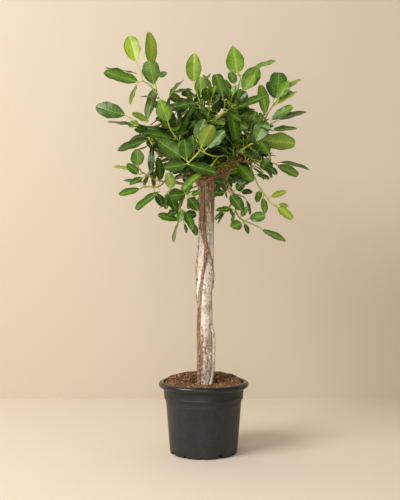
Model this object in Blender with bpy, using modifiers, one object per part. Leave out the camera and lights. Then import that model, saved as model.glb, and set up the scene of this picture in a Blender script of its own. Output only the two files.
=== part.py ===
"""Potted banyan tree: a young Ficus benghalensis grown as a standard, in its black nursery pot.

Metres, +Z up. The origin is the centre of the pot's underside and the front of the plant faces -Y.
Each table below is in centimetres and is turned into metres where it is read.
"""

import math

import bmesh
import bpy
from mathutils import Matrix, Vector
from mathutils.bvhtree import BVHTree

CM = 0.01
GAP = 0.0003                 # clear space between two pieces that rest on or in each other

# Pot: injection-moulded polypropylene, its lip rolled over a wide band
POT_HEIGHT = 0.250
LIP_RADIUS = 0.160
LIP_DEPTH = 0.025
MOUTH_RADIUS = 0.142
BAND_BOTTOM = 0.178
BAND_TOP_RADIUS = 0.1425
BAND_FOOT_RADIUS = 0.1385
WALL_TOP_RADIUS = 0.1325
FOOT_RADIUS = 0.1170
WALL = 0.0022
FLOOR = 0.0050
FOOT_CORNER = 0.008
DRAINS = 12                  # notches round the foot, every third one larger
DRAIN_RADIUS = 0.0050
LARGE_DRAIN_RADIUS = 0.0095
POT_STEPS = 30

# Soil: level at the front, mounded behind the stem
SOIL_EDGE = 0.2425
SOIL_MOUND = 0.021
SOIL_DIP = 0.005
SOIL_STEPS = 24

# Trunk: height, left side, right side and half depth of each section, in centimetres
TRUNK_SECTIONS = (
    (13.0, -1.0, 1.0, 1.0),
    (19.0, -1.8, 1.7, 1.8),
    (23.6, -2.4, 2.2, 2.4),
    (26.0, -2.1, 1.7, 2.1),
    (36.0, -2.0, 2.4, 2.2),
    (46.0, -2.3, 3.1, 2.5),
    (56.0, -2.5, 3.0, 2.6),
    (70.0, -1.8, 3.9, 2.7),
    (84.0, -1.8, 3.8, 2.7),
    (94.0, -1.9, 4.0, 2.8),
    (98.0, -0.9, 2.9, 1.9),
)
TRUNK_SIDES = 12
TRUNK_LOBES = 5              # ribs that the fused stems and roots leave round the trunk
TRUNK_LOBE = 0.07
TRUNK_TWIST = 2.2            # turns of the ribs, in radians over a metre

# Aerial roots fused to the trunk: across, depth and height in centimetres, then radius
ROOTS = {
    "prop_root_right": ((2.4, -0.6, 45.0, 0.5), (3.5, -0.9, 42.0, 0.6), (3.8, -1.0, 36.0, 0.6),
                        (3.6, -1.0, 29.0, 0.6), (3.3, -1.1, 24.5, 0.65), (3.2, -1.1, 20.0, 0.6)),
    "root_left": ((-1.0, -1.9, 58.0, 0.5), (-1.7, -1.7, 50.0, 0.55), (-2.0, -1.4, 43.0, 0.55),
                  (-1.9, -1.5, 34.0, 0.55), (-1.7, -1.6, 26.0, 0.6), (-1.8, -1.7, 20.0, 0.6)),
    "strand_right": ((-0.3, -2.2, 93.0, 0.4), (-0.1, -2.6, 84.0, 0.4), (0.5, -2.6, 75.0, 0.45),
                     (1.6, -2.6, 71.0, 0.45), (3.0, -1.9, 66.0, 0.45), (3.5, -0.8, 62.5, 0.4),
                     (3.1, -0.4, 58.0, 0.4)),
    "strand_left": ((-1.5, -1.3, 88.0, 0.35), (-1.0, -2.2, 79.0, 0.4), (0.8, -2.6, 73.0, 0.4),
                    (0.5, -2.6, 67.0, 0.4), (-0.4, -2.5, 62.5, 0.4), (-1.2, -2.1, 58.0, 0.45)),
    "loose_strand": ((-1.4, -0.6, 76.0, 0.25), (-2.1, -0.6, 72.0, 0.25), (-2.7, -0.5, 65.0, 0.25),
                     (-2.6, -0.5, 56.0, 0.25), (-2.2, -0.5, 53.0, 0.25)),
}

# Limbs that fork from the trunk's top: across, depth, height and radius in centimetres
LIMBS = {
    "right": ((1.5, 0, 93, 1.8), (5, 0, 98.2, 1.35), (8.5, -.5, 101.4, 1.15), (12, -1, 103.6, .9),
              (16.5, -1, 103.2, .6), (20, 0, 103.6, .45), (23.5, 1, 104.4, .3)),
    "left": ((0.2, 0, 93, 1.6), (-3.5, 0, 98.5, 1.1), (-7.5, .5, 102, .85), (-12, 1, 104.5, .65),
             (-17, 1.5, 107, .5), (-20, 2, 110, .3)),
    "leader": ((0.8, 1, 93, 1.9), (0.5, 2, 101, 1.2), (0, 2.5, 108, .9), (1, 2.5, 115, .7),
               (0, 3, 122, .5), (0.5, 3, 127, .3)),
    "upper_right": ((0.5, 2.5, 107, .7), (3, 1, 113, .6), (6, 0, 118.6, .5), (10, 0, 123, .4),
                    (13, 0, 127.2, .3)),
    "upper_left": ((0, 2.5, 104, .8), (-4, 2, 110, .6), (-9, 2, 117, .5), (-14, 2, 123, .4),
                   (-17, 2, 128.5, .3)),
    "far_right": ((8, -.5, 101, .8), (13, 1, 107.5, .55), (18, 2, 113.5, .42), (22, 2, 118, .3)),
    "far_left": ((-7, .5, 101.5, .9), (-14, 3, 107, .6), (-19.5, 3, 112.5, .42), (-21.5, 3, 116, .3)),
    "low_left": ((-2.5, 0, 97.5, 1.0), (-8, -3.5, 97.5, .7), (-14, -4, 95.6, .45), (-18, -4, 96.5, .3)),
    "low_front": ((-5, -2, 97.6, .7), (-7.5, -6, 93.5, .45), (-8.5, -8, 89, .3)),
    "low_right": ((3.5, -.5, 97, .9), (8, -4.5, 95.5, .6), (10.5, -7, 91, .45), (11.6, -8, 86.5, .3)),
    "droop_right": ((11, -1, 103, .7), (15, -2.8, 103, .5), (17, -3.5, 101, .3)),
    "front": ((1, -1, 95, 1.2), (0, -7, 100.5, .9), (-1, -13, 105.5, .6), (0, -17, 110.5, .35)),
    "front_right": ((.4, -6, 99.6, .8), (4, -11, 103, .6), (8, -15, 108, .35)),
    "back": ((1, 1, 95, 1.3), (1, 8, 102, 1.0), (0, 15, 108, .7), (-1, 21, 115, .4)),
    "back_left": ((.8, 7, 101, .8), (-7, 13, 105, .6), (-14, 18, 110, .35)),
    "back_right": ((1, 7, 101, .8), (8, 13, 106, .6), (15, 18, 112, .35)),
    "back_low": ((1, 2, 95, .9), (-1, 10, 96.5, .5), (-2, 17, 95, .3)),
}

# Leafy shoots that are set out one by one. A place is (across, up, depth) in centimetres as it is drawn on the
# elevation seen from EYE: across and up on the trunk's own plane, then depth back along the line of sight.
# Each shoot has its stem's places from the limb outwards, then its leaves: the places where the blade
# starts and where it ends, the blade's width, and the share of its face that shows from the front, from 1 for
# the whole upper face, through 0 for edge on with the upper face to the sky, to -1 for the whole underside.
EYE = Vector((-0.013, -2.6, 0.664))
STEM_FOOT_RADIUS = 0.0022
STEM_TIP_RADIUS = 0.0014
SHOOTS = {
    "shoot_top_left": (
        ((-17.6, 129, 2), (-19.5, 131, 1), (-22, 132.6, 0), (-22.2, 134.6, 0)), (
            ((-24.3, 139.3, -1), (-26.6, 148.4, 2), 6.0, 1.0),
            ((-23.5, 132, 0), (-35.3, 135.8, 3), 6.0, .7),
            ((-23.7, 135, 3), (-35, 137, 6), 4.0, .25),
            ((-23.8, 131.5, -2), (-26.3, 124, -4), 4.0, .35),
            ((-17.9, 131, -2), (-19.5, 139.5, -4), 6.2, 1.0))),
    "shoot_top_left_back": (
        ((-16.5, 128, 3), (-17.3, 131, 5), (-18.5, 135, 6)), (
            ((-19, 138, 6), (-19.4, 149.7, 8), 5.0, .9),
            ((-16, 134, 5), (-13.2, 135.2, 4), 2.4, .9))),
    "shoot_far_left": (
        ((-21.3, 115, 3), (-22, 116, 1), (-24.5, 117.5, -1), (-26, 118.8, -1)), (
            ((-28, 120, -2), (-38.4, 123.2, 0), 6.0, .95),
            ((-20, 118, -2), (-25.6, 120.5, -5), 3.4, .7),
            ((-25, 116.3, 2), (-34.3, 117.7, 5), 4.0, .3),
            ((-20.2, 118, 3), (-17.6, 129.3, 5), 5.2, .65))),
    "shoot_left_lances": (
        ((-13, 122, 2), (-13.4, 124, 0), (-12.8, 125.5, -1)), (
            ((-12.3, 126.9, -1), (-7.2, 132.7, 2), 3.5, .4),
            ((-11.5, 128, 3), (-4.3, 129.3, 6), 3.4, .35),
            ((-15.5, 125.5, 2), (-22.5, 126.2, 5), 3.4, .15))),
    "shoot_left_bright": (
        ((-5.5, 112, 0), (-8.6, 110.6, -4), (-11.6, 114.5, -6), (-12.6, 117, -7)), (
            ((-12.8, 117.8, -7), (-15.7, 125.5, -8), 5.5, 1.0),
            ((-10.2, 112.6, -3), (-21.9, 115.9, -4), 5.0, .4),
            ((-10.5, 111.3, -7), (-22, 113.6, -10), 5.0, .5),
            ((-8.6, 111.6, -5), (-4, 123, -4), 5.0, .6))),
    "shoot_top_middle": (
        ((0.2, 122, 3), (-1, 123.6, 1), (-1.7, 126, 0), (-2.8, 129, 0)), (
            ((-3.6, 132, 0), (-3.5, 142, 1), 5.5, 1.0),
            ((-1.2, 127, -2), (-1, 133.8, -3), 4.3, 1.0),
            ((3, 127.5, 4), (0, 134.4, 5), 3.5, .5),
            ((-2.6, 124.5, -2), (-10.8, 123, -3), 5.5, .9),
            ((-3, 126.5, 3), (-7.8, 128, 5), 3.0, .8))),
    "shoot_top_centre": (
        ((6, 118.8, 0), (7.2, 121, -1), (7.6, 124.5, -1)), (
            ((7, 126, -1), (4.5, 134.6, 0), 5.0, .95),
            ((9.8, 125, 3), (7.7, 132.7, 4), 4.0, .7),
            ((10.3, 124.5, 0), (11.2, 130.5, -1), 3.0, .8),
            ((2.8, 118.5, -1), (-1, 123.3, -3), 3.0, .85))),
    "shoot_top_right": (
        ((12.6, 127, 0), (12.5, 130.5, 0), (13.3, 133, 0), (13, 134.2, 0)), (
            ((12, 135, -1), (10.4, 145.2, 1), 6.3, 1.0),
            ((11, 131.3, -2), (9.5, 135.5, -2), 3.5, .9),
            ((14.2, 129, -3), (19.5, 137, -2), 6.4, .95),
            ((16, 135.8, 1), (25.5, 139.7, 3), 4.5, .35))),
    "shoot_right_long": (
        ((9.5, 122.2, -1), (11.5, 122.6, -3), (12.6, 123.4, -4)), (
            ((13.6, 124, -4), (24, 126.6, -5), 4.5, .45),
            ((13, 119.6, -3), (19.3, 119.2, -5), 5.0, .8),
            ((11.2, 118, -5), (15.6, 115.3, -7), 3.6, 1.0))),
    "shoot_right_tall": (
        ((22, 118, 2), (23, 120.5, 0), (25, 123.6, 0)), (
            ((22, 120.3, -2), (20.5, 130.8, -1), 4.6, .88),
            ((26.2, 125.8, -2), (27, 135.2, -1), 6.5, 1.0),
            ((25.3, 126, 2), (23.2, 132, 5), 3.6, .8),
            ((28.3, 128.4, 1), (34.9, 133, 3), 3.4, .5),
            ((26.4, 124.2, -1), (33.4, 128.4, -3), 4.0, .45),
            ((27, 125.8, 4), (31.6, 128.6, 7), 3.5, .8))),
    "shoot_right_middle": (
        ((19.5, 115, 2), (22.5, 115.6, 1), (25, 117.2, 1)), (
            ((24.4, 118.4, -1), (31.6, 123.2, -3), 4.0, .8),
            ((27, 118.3, 1), (36.7, 121.2, 3), 4.5, .5),
            ((24.9, 114.6, -1), (33.2, 115.3, 0), 4.5, .45),
            ((22.1, 114.6, -2), (19.8, 107.4, -5), 4.8, .9))),
    "shoot_right_pale": (
        ((11.6, 103, -3), (12.3, 106.3, -6), (16, 109, -8), (19, 110.6, -9)), (
            ((21, 111, -9), (32.6, 110.3, -8), 6.0, -.95),
            ((11.7, 110.5, -8), (9.5, 121.5, -7), 5.0, .75),
            ((17.3, 107.6, -8), (25, 107.4, -11), 4.5, .8),
            ((11.6, 102.6, -8), (17.2, 96.4, -11), 4.4, .9))),
    "shoot_right_low": (
        ((20.5, 103.6, 0), (23, 103, -2), (25.3, 102.6, -2)), (
            ((26.4, 102, -3), (33.6, 98.2, -5), 4.5, .7),
            ((27, 103.1, 0), (37.6, 100.5, 2), 4.5, .3),
            ((23.3, 101.7, -5), (26, 98.6, -7), 3.0, .7),
            ((20.6, 100.9, -4), (24, 104.6, -6), 3.4, .9),
            ((17.2, 104.4, -3), (19.5, 107.4, -4), 3.0, 1.0),
            ((22.4, 101, 1), (24.4, 97.6, 2), 2.6, .5))),
    "shoot_right_drooping": (
        ((17, 100.8, -4), (17.8, 98.6, -4), (18.9, 96.2, -4), (20, 94, -4), (22.3, 91, -4),
         (24, 88.5, -4), (25.6, 87.4, -4)), (
            ((20, 92.8, -5), (19.4, 88.8, -7), 2.8, .9),
            ((21.3, 90.3, -5), (22, 84.8, -6), 3.0, .8),
            ((24.2, 90.6, -4), (29.4, 92.6, -4), 2.6, .8),
            ((26.6, 87, -5), (31.8, 82.8, -6), 3.4, .9),
            ((27, 87.8, -3), (30.2, 87.4, -2), 2.0, .8),
            ((19, 98.8, -5), (23.4, 97, -7), 3.2, .5))),
    "shoot_low_right": (
        ((8, 94.8, -6), (8.5, 93.5, -9), (9.3, 92.4, -10)), (
            ((7.4, 95.6, -8), (3.7, 96.2, -10), 3.0, .9),
            ((7.4, 92, -10), (3.6, 92.2, -12), 3.0, .9),
            ((8.4, 95, -10), (11, 98.6, -12), 3.2, .9),
            ((9.7, 91.4, -11), (13.5, 86, -13), 4.5, .9),
            ((11.6, 93.2, -10), (15, 96, -12), 3.8, .9))),
    "shoot_low_right_tip": (
        ((11.6, 86.8, -8), (12, 84.4, -9), (14, 82.3, -9), (17.5, 80.9, -9), (19.8, 79.8, -9)), (
            ((20.8, 79, -9), (29.2, 74.9, -11), 3.8, .6),
            ((16.4, 83, -10), (22, 84, -11), 3.9, .95),
            ((13.4, 83.6, -11), (15.8, 87, -13), 2.4, .9),
            ((13.6, 81.2, -11), (10, 79.6, -13), 4.0, .95),
            ((14.6, 81, -8), (16, 77.4, -8), 2.4, .7),
            ((10.4, 86.2, -9), (4.5, 85.8, -10), 3.5, .55),
            ((11, 85, -11), (10.4, 81.6, -12), 2.2, .5))),
    "shoot_low_right_side": (
        ((10.2, 91.6, -6), (12, 91.4, -7), (14.2, 90.6, -8)), (
            ((13.6, 92.6, -8), (17.4, 92.2, -10), 3.0, .7),
            ((15.2, 89.6, -9), (16.5, 84.3, -9), 3.0, .4),
            ((13, 90, -9), (13.9, 86.9, -11), 2.4, .6))),
    "shoot_left_dark": (
        ((-17.5, 107.6, 1), (-18.6, 109.6, 0), (-19.2, 111, 0)), (
            ((-20, 111.3, -1), (-30.6, 107.5, -2), 5.0, .56),
            ((-17.4, 109.8, -2), (-15.2, 104.6, -5), 4.0, .7),
            ((-20, 112, 3), (-26.5, 110.8, 7), 4.4, .5))),
    "shoot_left_twigs": (
        ((-17.6, 96.8, -4), (-19.5, 98, -5), (-22, 99.5, -5), (-23, 100.7, -5)), (
            ((-23.5, 101.8, -6), (-23.8, 107.8, -7), 4.8, 1.0),
            ((-23.2, 98.9, -7), (-27.4, 102.4, -8), 3.4, .9),
            ((-24.4, 100, -3), (-32.2, 101.6, -2), 3.2, .35),
            ((-21.8, 97.6, -7), (-26.4, 95, -9), 3.0, .7),
            ((-19.6, 99.6, -3), (-17.8, 105.4, -2), 3.8, .66))),
    "shoot_left_low": (
        ((-14.6, 95.4, -5), (-16.5, 94.2, -6), (-19.5, 94.3, -6), (-21.5, 94.2, -6)), (
            ((-22.8, 93.5, -6), (-30.2, 91.5, -7), 4.2, .6),
            ((-15.8, 92.6, -8), (-24, 86.2, -10), 4.6, .53),
            ((-15.6, 96.4, -8), (-16.4, 104.6, -9), 3.9, .8),
            ((-17.4, 92.2, -5), (-14.6, 87.2, -6), 3.4, .9),
            ((-21.6, 95.8, -4), (-28.6, 96.6, -2), 3.4, .4))),
    "shoot_left_round": (
        ((-10.6, 96.6, -4), (-11.6, 95.6, -7), (-11.8, 94, -9)), (
            ((-11.6, 93.6, -11), (-12.6, 99.2, -12), 4.0, -.9),
            ((-12.6, 91.6, -9), (-10, 86, -10), 4.2, .9),
            ((-13, 92.2, -8), (-13.4, 86.4, -8), 3.2, .6))),
    "shoot_front_low": (
        ((-7.3, 94, -6), (-6.6, 92, -10), (-5.6, 91.4, -12)), (
            ((-6.6, 91.6, -13), (-11.8, 91, -15), 4.3, .95),
            ((-5.6, 90.4, -13), (-2, 85.8, -14), 3.9, .9),
            ((-4.4, 91.2, -11), (-1.4, 92.6, -11), 2.0, .9),
            ((-5.6, 92.6, -10), (-4.8, 97.6, -12), 3.6, .8))),
    "shoot_low_left_hanging": (
        ((-8.5, 89.2, -8), (-8.4, 86, -9), (-7.8, 83.8, -9), (-7, 82.4, -10)), (
            ((-9.6, 83, -8), (-16.2, 83.6, -9), 3.2, .75),
            ((-7.7, 86, -11), (-8.9, 81.5, -13), 2.8, .9),
            ((-8.8, 82, -10), (-10.7, 74.5, -11), 3.2, .35),
            ((-7, 81.2, -11), (-6.2, 77.8, -11), 1.6, .7),
            ((-6.1, 85.6, -11), (-3.3, 79, -12), 3.2, .9),
            ((-5.7, 82.6, -8), (-2.6, 76.6, -8), 2.6, .8),
            ((-6.6, 84.6, -7), (-2.6, 84.2, -6), 3.2, .9),
            ((-9.6, 87.6, -8), (-14, 88.6, -8), 3.0, .7))),
    "shoot_centre_left": (
        ((-1.2, 104.4, -12), (-3, 104, -15), (-5.4, 103, -17)), (
            ((-6.8, 101.7, -17), (-13.9, 101.3, -19), 4.2, .95),
            ((-5.6, 101.8, -19), (-1.2, 98.3, -21), 3.9, .9),
            ((-7.4, 104.7, -16), (-16.3, 111, -17), 5.8, .95),
            ((-6, 104.2, -18), (-6.8, 111, -19), 4.7, .95))),
    "shoot_centre_right": (
        ((.2, 101.4, -10), (1.6, 101.3, -14), (2.2, 101.2, -16)), (
            ((.4, 99.7, -17), (-7.2, 93.4, -19), 4.4, .62),
            ((3, 99.9, -18), (6, 95.6, -20), 4.2, .9),
            ((3.6, 102.2, -18), (8.6, 103.8, -20), 4.4, .9))),
    "shoot_centre_top": (
        ((0, 109.4, -17.5), (-.3, 108, -20), (-.4, 107.4, -21)), (
            ((-.5, 108.6, -22), (3, 116.2, -23), 5.2, -.95),
            ((1.2, 108.4, -20), (7.4, 114, -20), 4.5, .9),
            ((-2.2, 109.8, -19), (-7.4, 115.4, -19), 4.6, .9),
            ((-.4, 111.4, -19), (1, 118.6, -17), 5.2, .95))),
}

# Shoots inside and behind the crown, which grow by one rule: the limb, how far along it the shoot starts,
# its bearing (0 to the right, 90 to the back), its rise, its length in centimetres and its number of leaves
GROWN = (
    ("back", 1.0, 90, 35, 8, 5),
    ("back", .72, 160, 30, 9, 5),
    ("back", .72, 20, 20, 9, 5),
    ("back_left", 1.0, 140, 25, 8, 5),
    ("back_left", .6, 200, 5, 8, 5),
    ("back_right", 1.0, 45, 25, 8, 5),
    ("back_right", .6, -10, 5, 8, 5),
    ("back_low", 1.0, 100, -10, 7, 5),
    ("back_low", .55, 190, -25, 9, 5),
    ("leader", 1.0, 80, 60, 6, 5),
    ("leader", .8, 50, 25, 9, 5),
    ("leader", .66, 135, 30, 9, 5),
    ("far_right", .9, 75, 25, 8, 5),
    ("far_left", .8, 110, 15, 8, 5),
    ("right", .75, 60, -20, 8, 5),
    ("left", .7, 120, -25, 8, 5),
    ("front_right", 1.0, 300, 35, 4, 5),
    ("leader", .6, 275, 25, 9, 5),
    ("upper_left", .5, 240, 30, 7, 5),
    ("upper_right", .6, 300, 10, 7, 7),
    ("leader", .5, 245, 15, 8, 7),
    ("leader", .74, 285, 20, 7, 6),
    ("upper_left", .62, 262, -5, 6, 6),
    ("upper_right", .72, 265, -5, 6, 5),
    ("far_right", .55, 285, 10, 8, 8),
    ("far_left", .5, 260, 10, 8, 7),
    ("leader", .82, 205, 5, 8, 6),
    ("upper_right", .35, 345, 15, 8, 7),
    ("right", .45, 265, 35, 6, 7),
    ("left", .45, 275, 40, 5, 7),
)
GOLDEN_ANGLE = math.radians(137.5)
PETIOLE_SPREAD = math.radians(52)
PETIOLE = 0.024
GROWN_LEAF = (0.104, 0.086)  # blade length of a grown shoot's first and last leaf
GROWN_WIDTH = 0.52           # blade width as a share of its length
DROOP = 0.30                 # how far a grown leaf's blade bends down from its petiole

# Leaf: share of the blade's length, share of its width, for each section
BLADE = ((0.16, 0.76), (0.47, 1.0), (0.80, 0.68))
BLADE_THICKNESS = 0.0012
PETIOLE_RADIUS = 0.0011
FOLD = 0.22                  # rise of the blade's edges above its midrib, as a share of the half width
ARCH = 0.05                  # rise of the midrib's middle above its ends, as a share of the blade's length
CLEARANCE = 0.0006           # extra size of a leaf or stem while it is tested against its neighbours
PUSHES = (0, 0.7, -0.7, 1.4, -1.4, 2.1, -2.1, 3.0, -3.0, 4.0, -4.0)
TWISTS = (0, 22, -22)
SWINGS = (0, 35, -35, 70, -70, 110, -110, 150)


# ---- Scene, collections, materials ----------------------------------------------------------------------

for old in list(bpy.data.objects):
    bpy.data.objects.remove(old)

tree = bpy.data.collections.new("potted_banyan_tree")
cutters = bpy.data.collections.new("cutters")
bpy.context.scene.collection.children.link(tree)
bpy.context.scene.collection.children.link(cutters)


def material(name, colour, roughness):
    """One Principled material with no metal in it."""
    made = bpy.data.materials.new(name)
    made.use_nodes = True
    shader = made.node_tree.nodes["Principled BSDF"]
    shader.inputs["Base Color"].default_value = (*colour, 1.0)
    shader.inputs["Roughness"].default_value = roughness
    return made


def piece(name, mesh, collection, finish=None):
    """An object for a mesh, in its collection and with its own material."""
    made = bpy.data.objects.new(name, mesh)
    collection.objects.link(made)
    if finish is not None:
        mesh.materials.clear()
        mesh.materials.append(finish)
    if collection is cutters:
        made.hide_render = True
        made.display_type = "WIRE"
    return made


def joined(name, operation, base, others, collection, finish):
    """The Boolean of a base mesh and a list of others, with its operands removed."""
    operands = bpy.data.collections.new(name + "_operands")
    cutters.children.link(operands)
    made = piece(name, base, collection, finish)
    for index, mesh in enumerate(others):
        operands.objects.link(bpy.data.objects.new(f"{name}_operand_{index}", mesh))
    boolean = made.modifiers.new("Boolean", "BOOLEAN")
    boolean.operation = operation
    boolean.solver = "EXACT"
    boolean.operand_type = "COLLECTION"
    boolean.collection = operands
    depsgraph = bpy.context.evaluated_depsgraph_get()
    result = bpy.data.meshes.new_from_object(made.evaluated_get(depsgraph))
    made.modifiers.clear()
    made.data = result
    result.materials.clear()
    result.materials.append(finish)
    for operand in list(operands.objects):
        bpy.data.objects.remove(operand)
    bpy.data.collections.remove(operands)
    return made


# ---- Shapes ---------------------------------------------------------------------------------------------

def loft(name, rings, tip=None):
    """A closed mesh through rings of equal, even point count, capped at its ends or drawn to a tip.

    The diagonals fan out from every second point of each ring, so the two faces of a thin blade stay parallel.
    """
    shape = bmesh.new()
    loops = [[shape.verts.new(point) for point in ring] for ring in rings]
    count = len(loops[0])
    for lower, upper in zip(loops, loops[1:]):
        for index in range(0, count, 2):
            before, after = index - 1, (index + 1) % count
            shape.faces.new((lower[index], lower[after], upper[after]))
            shape.faces.new((lower[index], upper[after], upper[index]))
            shape.faces.new((lower[before], lower[index], upper[before]))
            shape.faces.new((lower[index], upper[index], upper[before]))
    shape.faces.new(reversed(loops[0]))
    if tip is None:
        shape.faces.new(loops[-1])
    else:
        end = shape.verts.new(tip)
        for index in range(count):
            shape.faces.new((loops[-1][index], loops[-1][(index + 1) % count], end))
    bmesh.ops.triangulate(shape, faces=shape.faces)
    bmesh.ops.recalc_face_normals(shape, faces=shape.faces)
    mesh = bpy.data.meshes.new(name)
    shape.to_mesh(mesh)
    shape.free()
    return mesh


def rod(name, points, radii, fineness=0, grow=0.0):
    """A rod along points, each with its own radius, as a mesh with welded caps. Fineness adds to its sides."""
    curve = bpy.data.curves.new(name, "CURVE")
    curve.dimensions = "3D"
    curve.bevel_depth = 1.0
    curve.bevel_resolution = fineness
    curve.use_fill_caps = True
    spline = curve.splines.new("POLY")
    spline.points.add(len(points) - 1)
    for knot, place_, radius in zip(spline.points, points, radii):
        knot.co = (*place_, 1.0)
        knot.radius = radius + grow
    guide = bpy.data.objects.new(name, curve)
    cutters.objects.link(guide)
    depsgraph = bpy.context.evaluated_depsgraph_get()
    mesh = bpy.data.meshes.new_from_object(guide.evaluated_get(depsgraph))
    bpy.data.objects.remove(guide)
    shape = bmesh.new()
    shape.from_mesh(mesh)
    bmesh.ops.remove_doubles(shape, verts=shape.verts, dist=1e-6)
    bmesh.ops.triangulate(shape, faces=shape.faces)
    bmesh.ops.recalc_face_normals(shape, faces=shape.faces)
    shape.to_mesh(mesh)
    shape.free()
    return mesh


def tree_of(mesh):
    """A search tree over a mesh's triangles, in world space."""
    corners = [vertex.co.copy() for vertex in mesh.vertices]
    faces = [tuple(face.vertices) for face in mesh.polygons]
    return BVHTree.FromPolygons(corners, faces)


def place(across, up, depth):
    """The place that is drawn at (across, up) on the trunk's plane and lies depth behind that plane."""
    drawn = Vector((across * CM, 0.0, up * CM))
    return EYE + (drawn - EYE) * (1 - depth * CM / EYE.y)


# ---- Pot ------------------------------------------------------------------------------------------------

def wall_radius(height):
    """Radius of the tapering wall's outside, between the foot and the band."""
    return FOOT_RADIUS + (WALL_TOP_RADIUS - FOOT_RADIUS) * height / BAND_BOTTOM


def pot_profile():
    """The pot's section from the middle of its floor, up the inside, over the lip and down the outside."""
    inside = [
        (0.0, FLOOR),
        (wall_radius(0) - WALL - FOOT_CORNER, FLOOR),
        (wall_radius(FLOOR) - WALL, FLOOR + FOOT_CORNER),
        (wall_radius(BAND_BOTTOM) - WALL, BAND_BOTTOM + WALL),
        (BAND_FOOT_RADIUS - WALL, BAND_BOTTOM + 3 * WALL),
        (MOUTH_RADIUS - WALL, POT_HEIGHT - LIP_DEPTH),
        (MOUTH_RADIUS, POT_HEIGHT - 0.006),
        (MOUTH_RADIUS + 0.002, POT_HEIGHT - 0.001),
    ]
    lip = [
        (MOUTH_RADIUS + 0.005, POT_HEIGHT),
        (LIP_RADIUS - 0.006, POT_HEIGHT),
        (LIP_RADIUS - 0.0015, POT_HEIGHT - 0.0025),
        (LIP_RADIUS, POT_HEIGHT - 0.008),
        (LIP_RADIUS - 0.001, POT_HEIGHT - LIP_DEPTH + 0.003),
        (LIP_RADIUS - 0.004, POT_HEIGHT - LIP_DEPTH),
        (BAND_TOP_RADIUS + 0.003, POT_HEIGHT - LIP_DEPTH),
        (BAND_TOP_RADIUS, POT_HEIGHT - LIP_DEPTH - 0.003),
    ]
    outside = [
        (BAND_FOOT_RADIUS, BAND_BOTTOM + 0.003),
        (BAND_FOOT_RADIUS - 0.002, BAND_BOTTOM),
        (wall_radius(BAND_BOTTOM - 0.004), BAND_BOTTOM - 0.004),
    ]
    outside += [
        (wall_radius(FOOT_CORNER), FOOT_CORNER),
        (wall_radius(0) - 0.4 * FOOT_CORNER, 0.2 * FOOT_CORNER),
        (wall_radius(0) - FOOT_CORNER, 0.0),
        (0.0, 0.0),
    ]
    return inside + lip + outside


def turned(name, profile, steps):
    """A closed solid turned about the Z axis from a profile whose ends lie on that axis."""
    outline = bpy.data.meshes.new(name)
    points = [(radius, 0.0, height) for radius, height in profile]
    outline.from_pydata(points, [(index, index + 1) for index in range(len(points) - 1)], [])
    guide = piece(name + "_profile", outline, cutters)
    screw = guide.modifiers.new("Screw", "SCREW")
    screw.steps = steps
    screw.render_steps = steps
    screw.use_merge_vertices = True
    screw.merge_threshold = 0.0001
    depsgraph = bpy.context.evaluated_depsgraph_get()
    mesh = bpy.data.meshes.new_from_object(guide.evaluated_get(depsgraph))
    bpy.data.objects.remove(guide)
    return mesh


def drain(index):
    """The cutter of one notch: a short cylinder that lies across the foot's corner."""
    bearing = math.tau * index / DRAINS + math.radians(-62)
    radius = LARGE_DRAIN_RADIUS if index % 3 == 0 else DRAIN_RADIUS
    shape = bmesh.new()
    bmesh.ops.create_cone(shape, cap_ends=True, segments=10, radius1=radius, radius2=radius, depth=0.03)
    across = Matrix.Rotation(math.radians(90), 4, "Y")
    out = Matrix.Translation((wall_radius(0), 0, 0))
    bmesh.ops.transform(shape, matrix=Matrix.Rotation(bearing - math.pi / 2, 4, "Z") @ out @ across,
                        verts=shape.verts)
    mesh = bpy.data.meshes.new("drain")
    shape.to_mesh(mesh)
    shape.free()
    return mesh


black_plastic = material("black_plastic", (0.035, 0.032, 0.028), 0.42)
pot = joined("pot", "DIFFERENCE", turned("pot", pot_profile(), POT_STEPS),
             [drain(index) for index in range(DRAINS)], tree, black_plastic)


# ---- Trunk: the fused stem, its aerial roots and its limbs, grown as one piece --------------------------

def trunk_ring(section, grow=0.0):
    """One ribbed ring of the trunk."""
    height, left, right, half_depth = (value * CM for value in section)
    middle = (left + right) / 2
    half_width = (right - left) / 2
    ring = []
    for index in range(TRUNK_SIDES):
        angle = math.tau * index / TRUNK_SIDES
        rib = 1 + TRUNK_LOBE * math.cos(TRUNK_LOBES * angle + TRUNK_TWIST * height * 6)
        ring.append((middle + (half_width * rib + grow) * math.cos(angle),
                     (half_depth * rib + grow) * math.sin(angle), height))
    return ring


def rows_to_rod(name, rows, grow=0.0):
    """A rod from rows of across, depth, height and radius in centimetres."""
    points = [Vector(row[:3]) * CM for row in rows]
    return rod(name, points, [row[3] * CM for row in rows], fineness=1, grow=grow)


bark = material("bark", (0.55, 0.45, 0.33), 0.8)
trunk_parts = [rows_to_rod(name, rows) for name, rows in (ROOTS | LIMBS).items()]
trunk = joined("trunk", "UNION", loft("trunk", [trunk_ring(section) for section in TRUNK_SECTIONS]),
               trunk_parts, tree, bark)
trunk_tree = tree_of(trunk.data)


# ---- Soil -----------------------------------------------------------------------------------------------

def soil_height(x, y):
    """Height of the soil's surface: a mound behind the stem, a shallow dip in front of it."""
    back = min(max((y + 0.02) / 0.10, 0.0), 1.0)
    edge = math.hypot(x, y) / MOUTH_RADIUS
    mound = SOIL_MOUND * back * back * (3 - 2 * back) * (1 - 0.55 * edge ** 4)
    dip = SOIL_DIP * (1 - edge ** 2) * (1 - back)
    return SOIL_EDGE + mound - dip


def soil_ring(radius, height=None):
    """One ring of the soil, on its surface where no height is given."""
    ring = []
    for index in range(SOIL_STEPS):
        angle = math.tau * index / SOIL_STEPS
        x, y = radius * math.cos(angle), radius * math.sin(angle)
        ring.append((x, y, soil_height(x, y) if height is None else height))
    return ring


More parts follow.
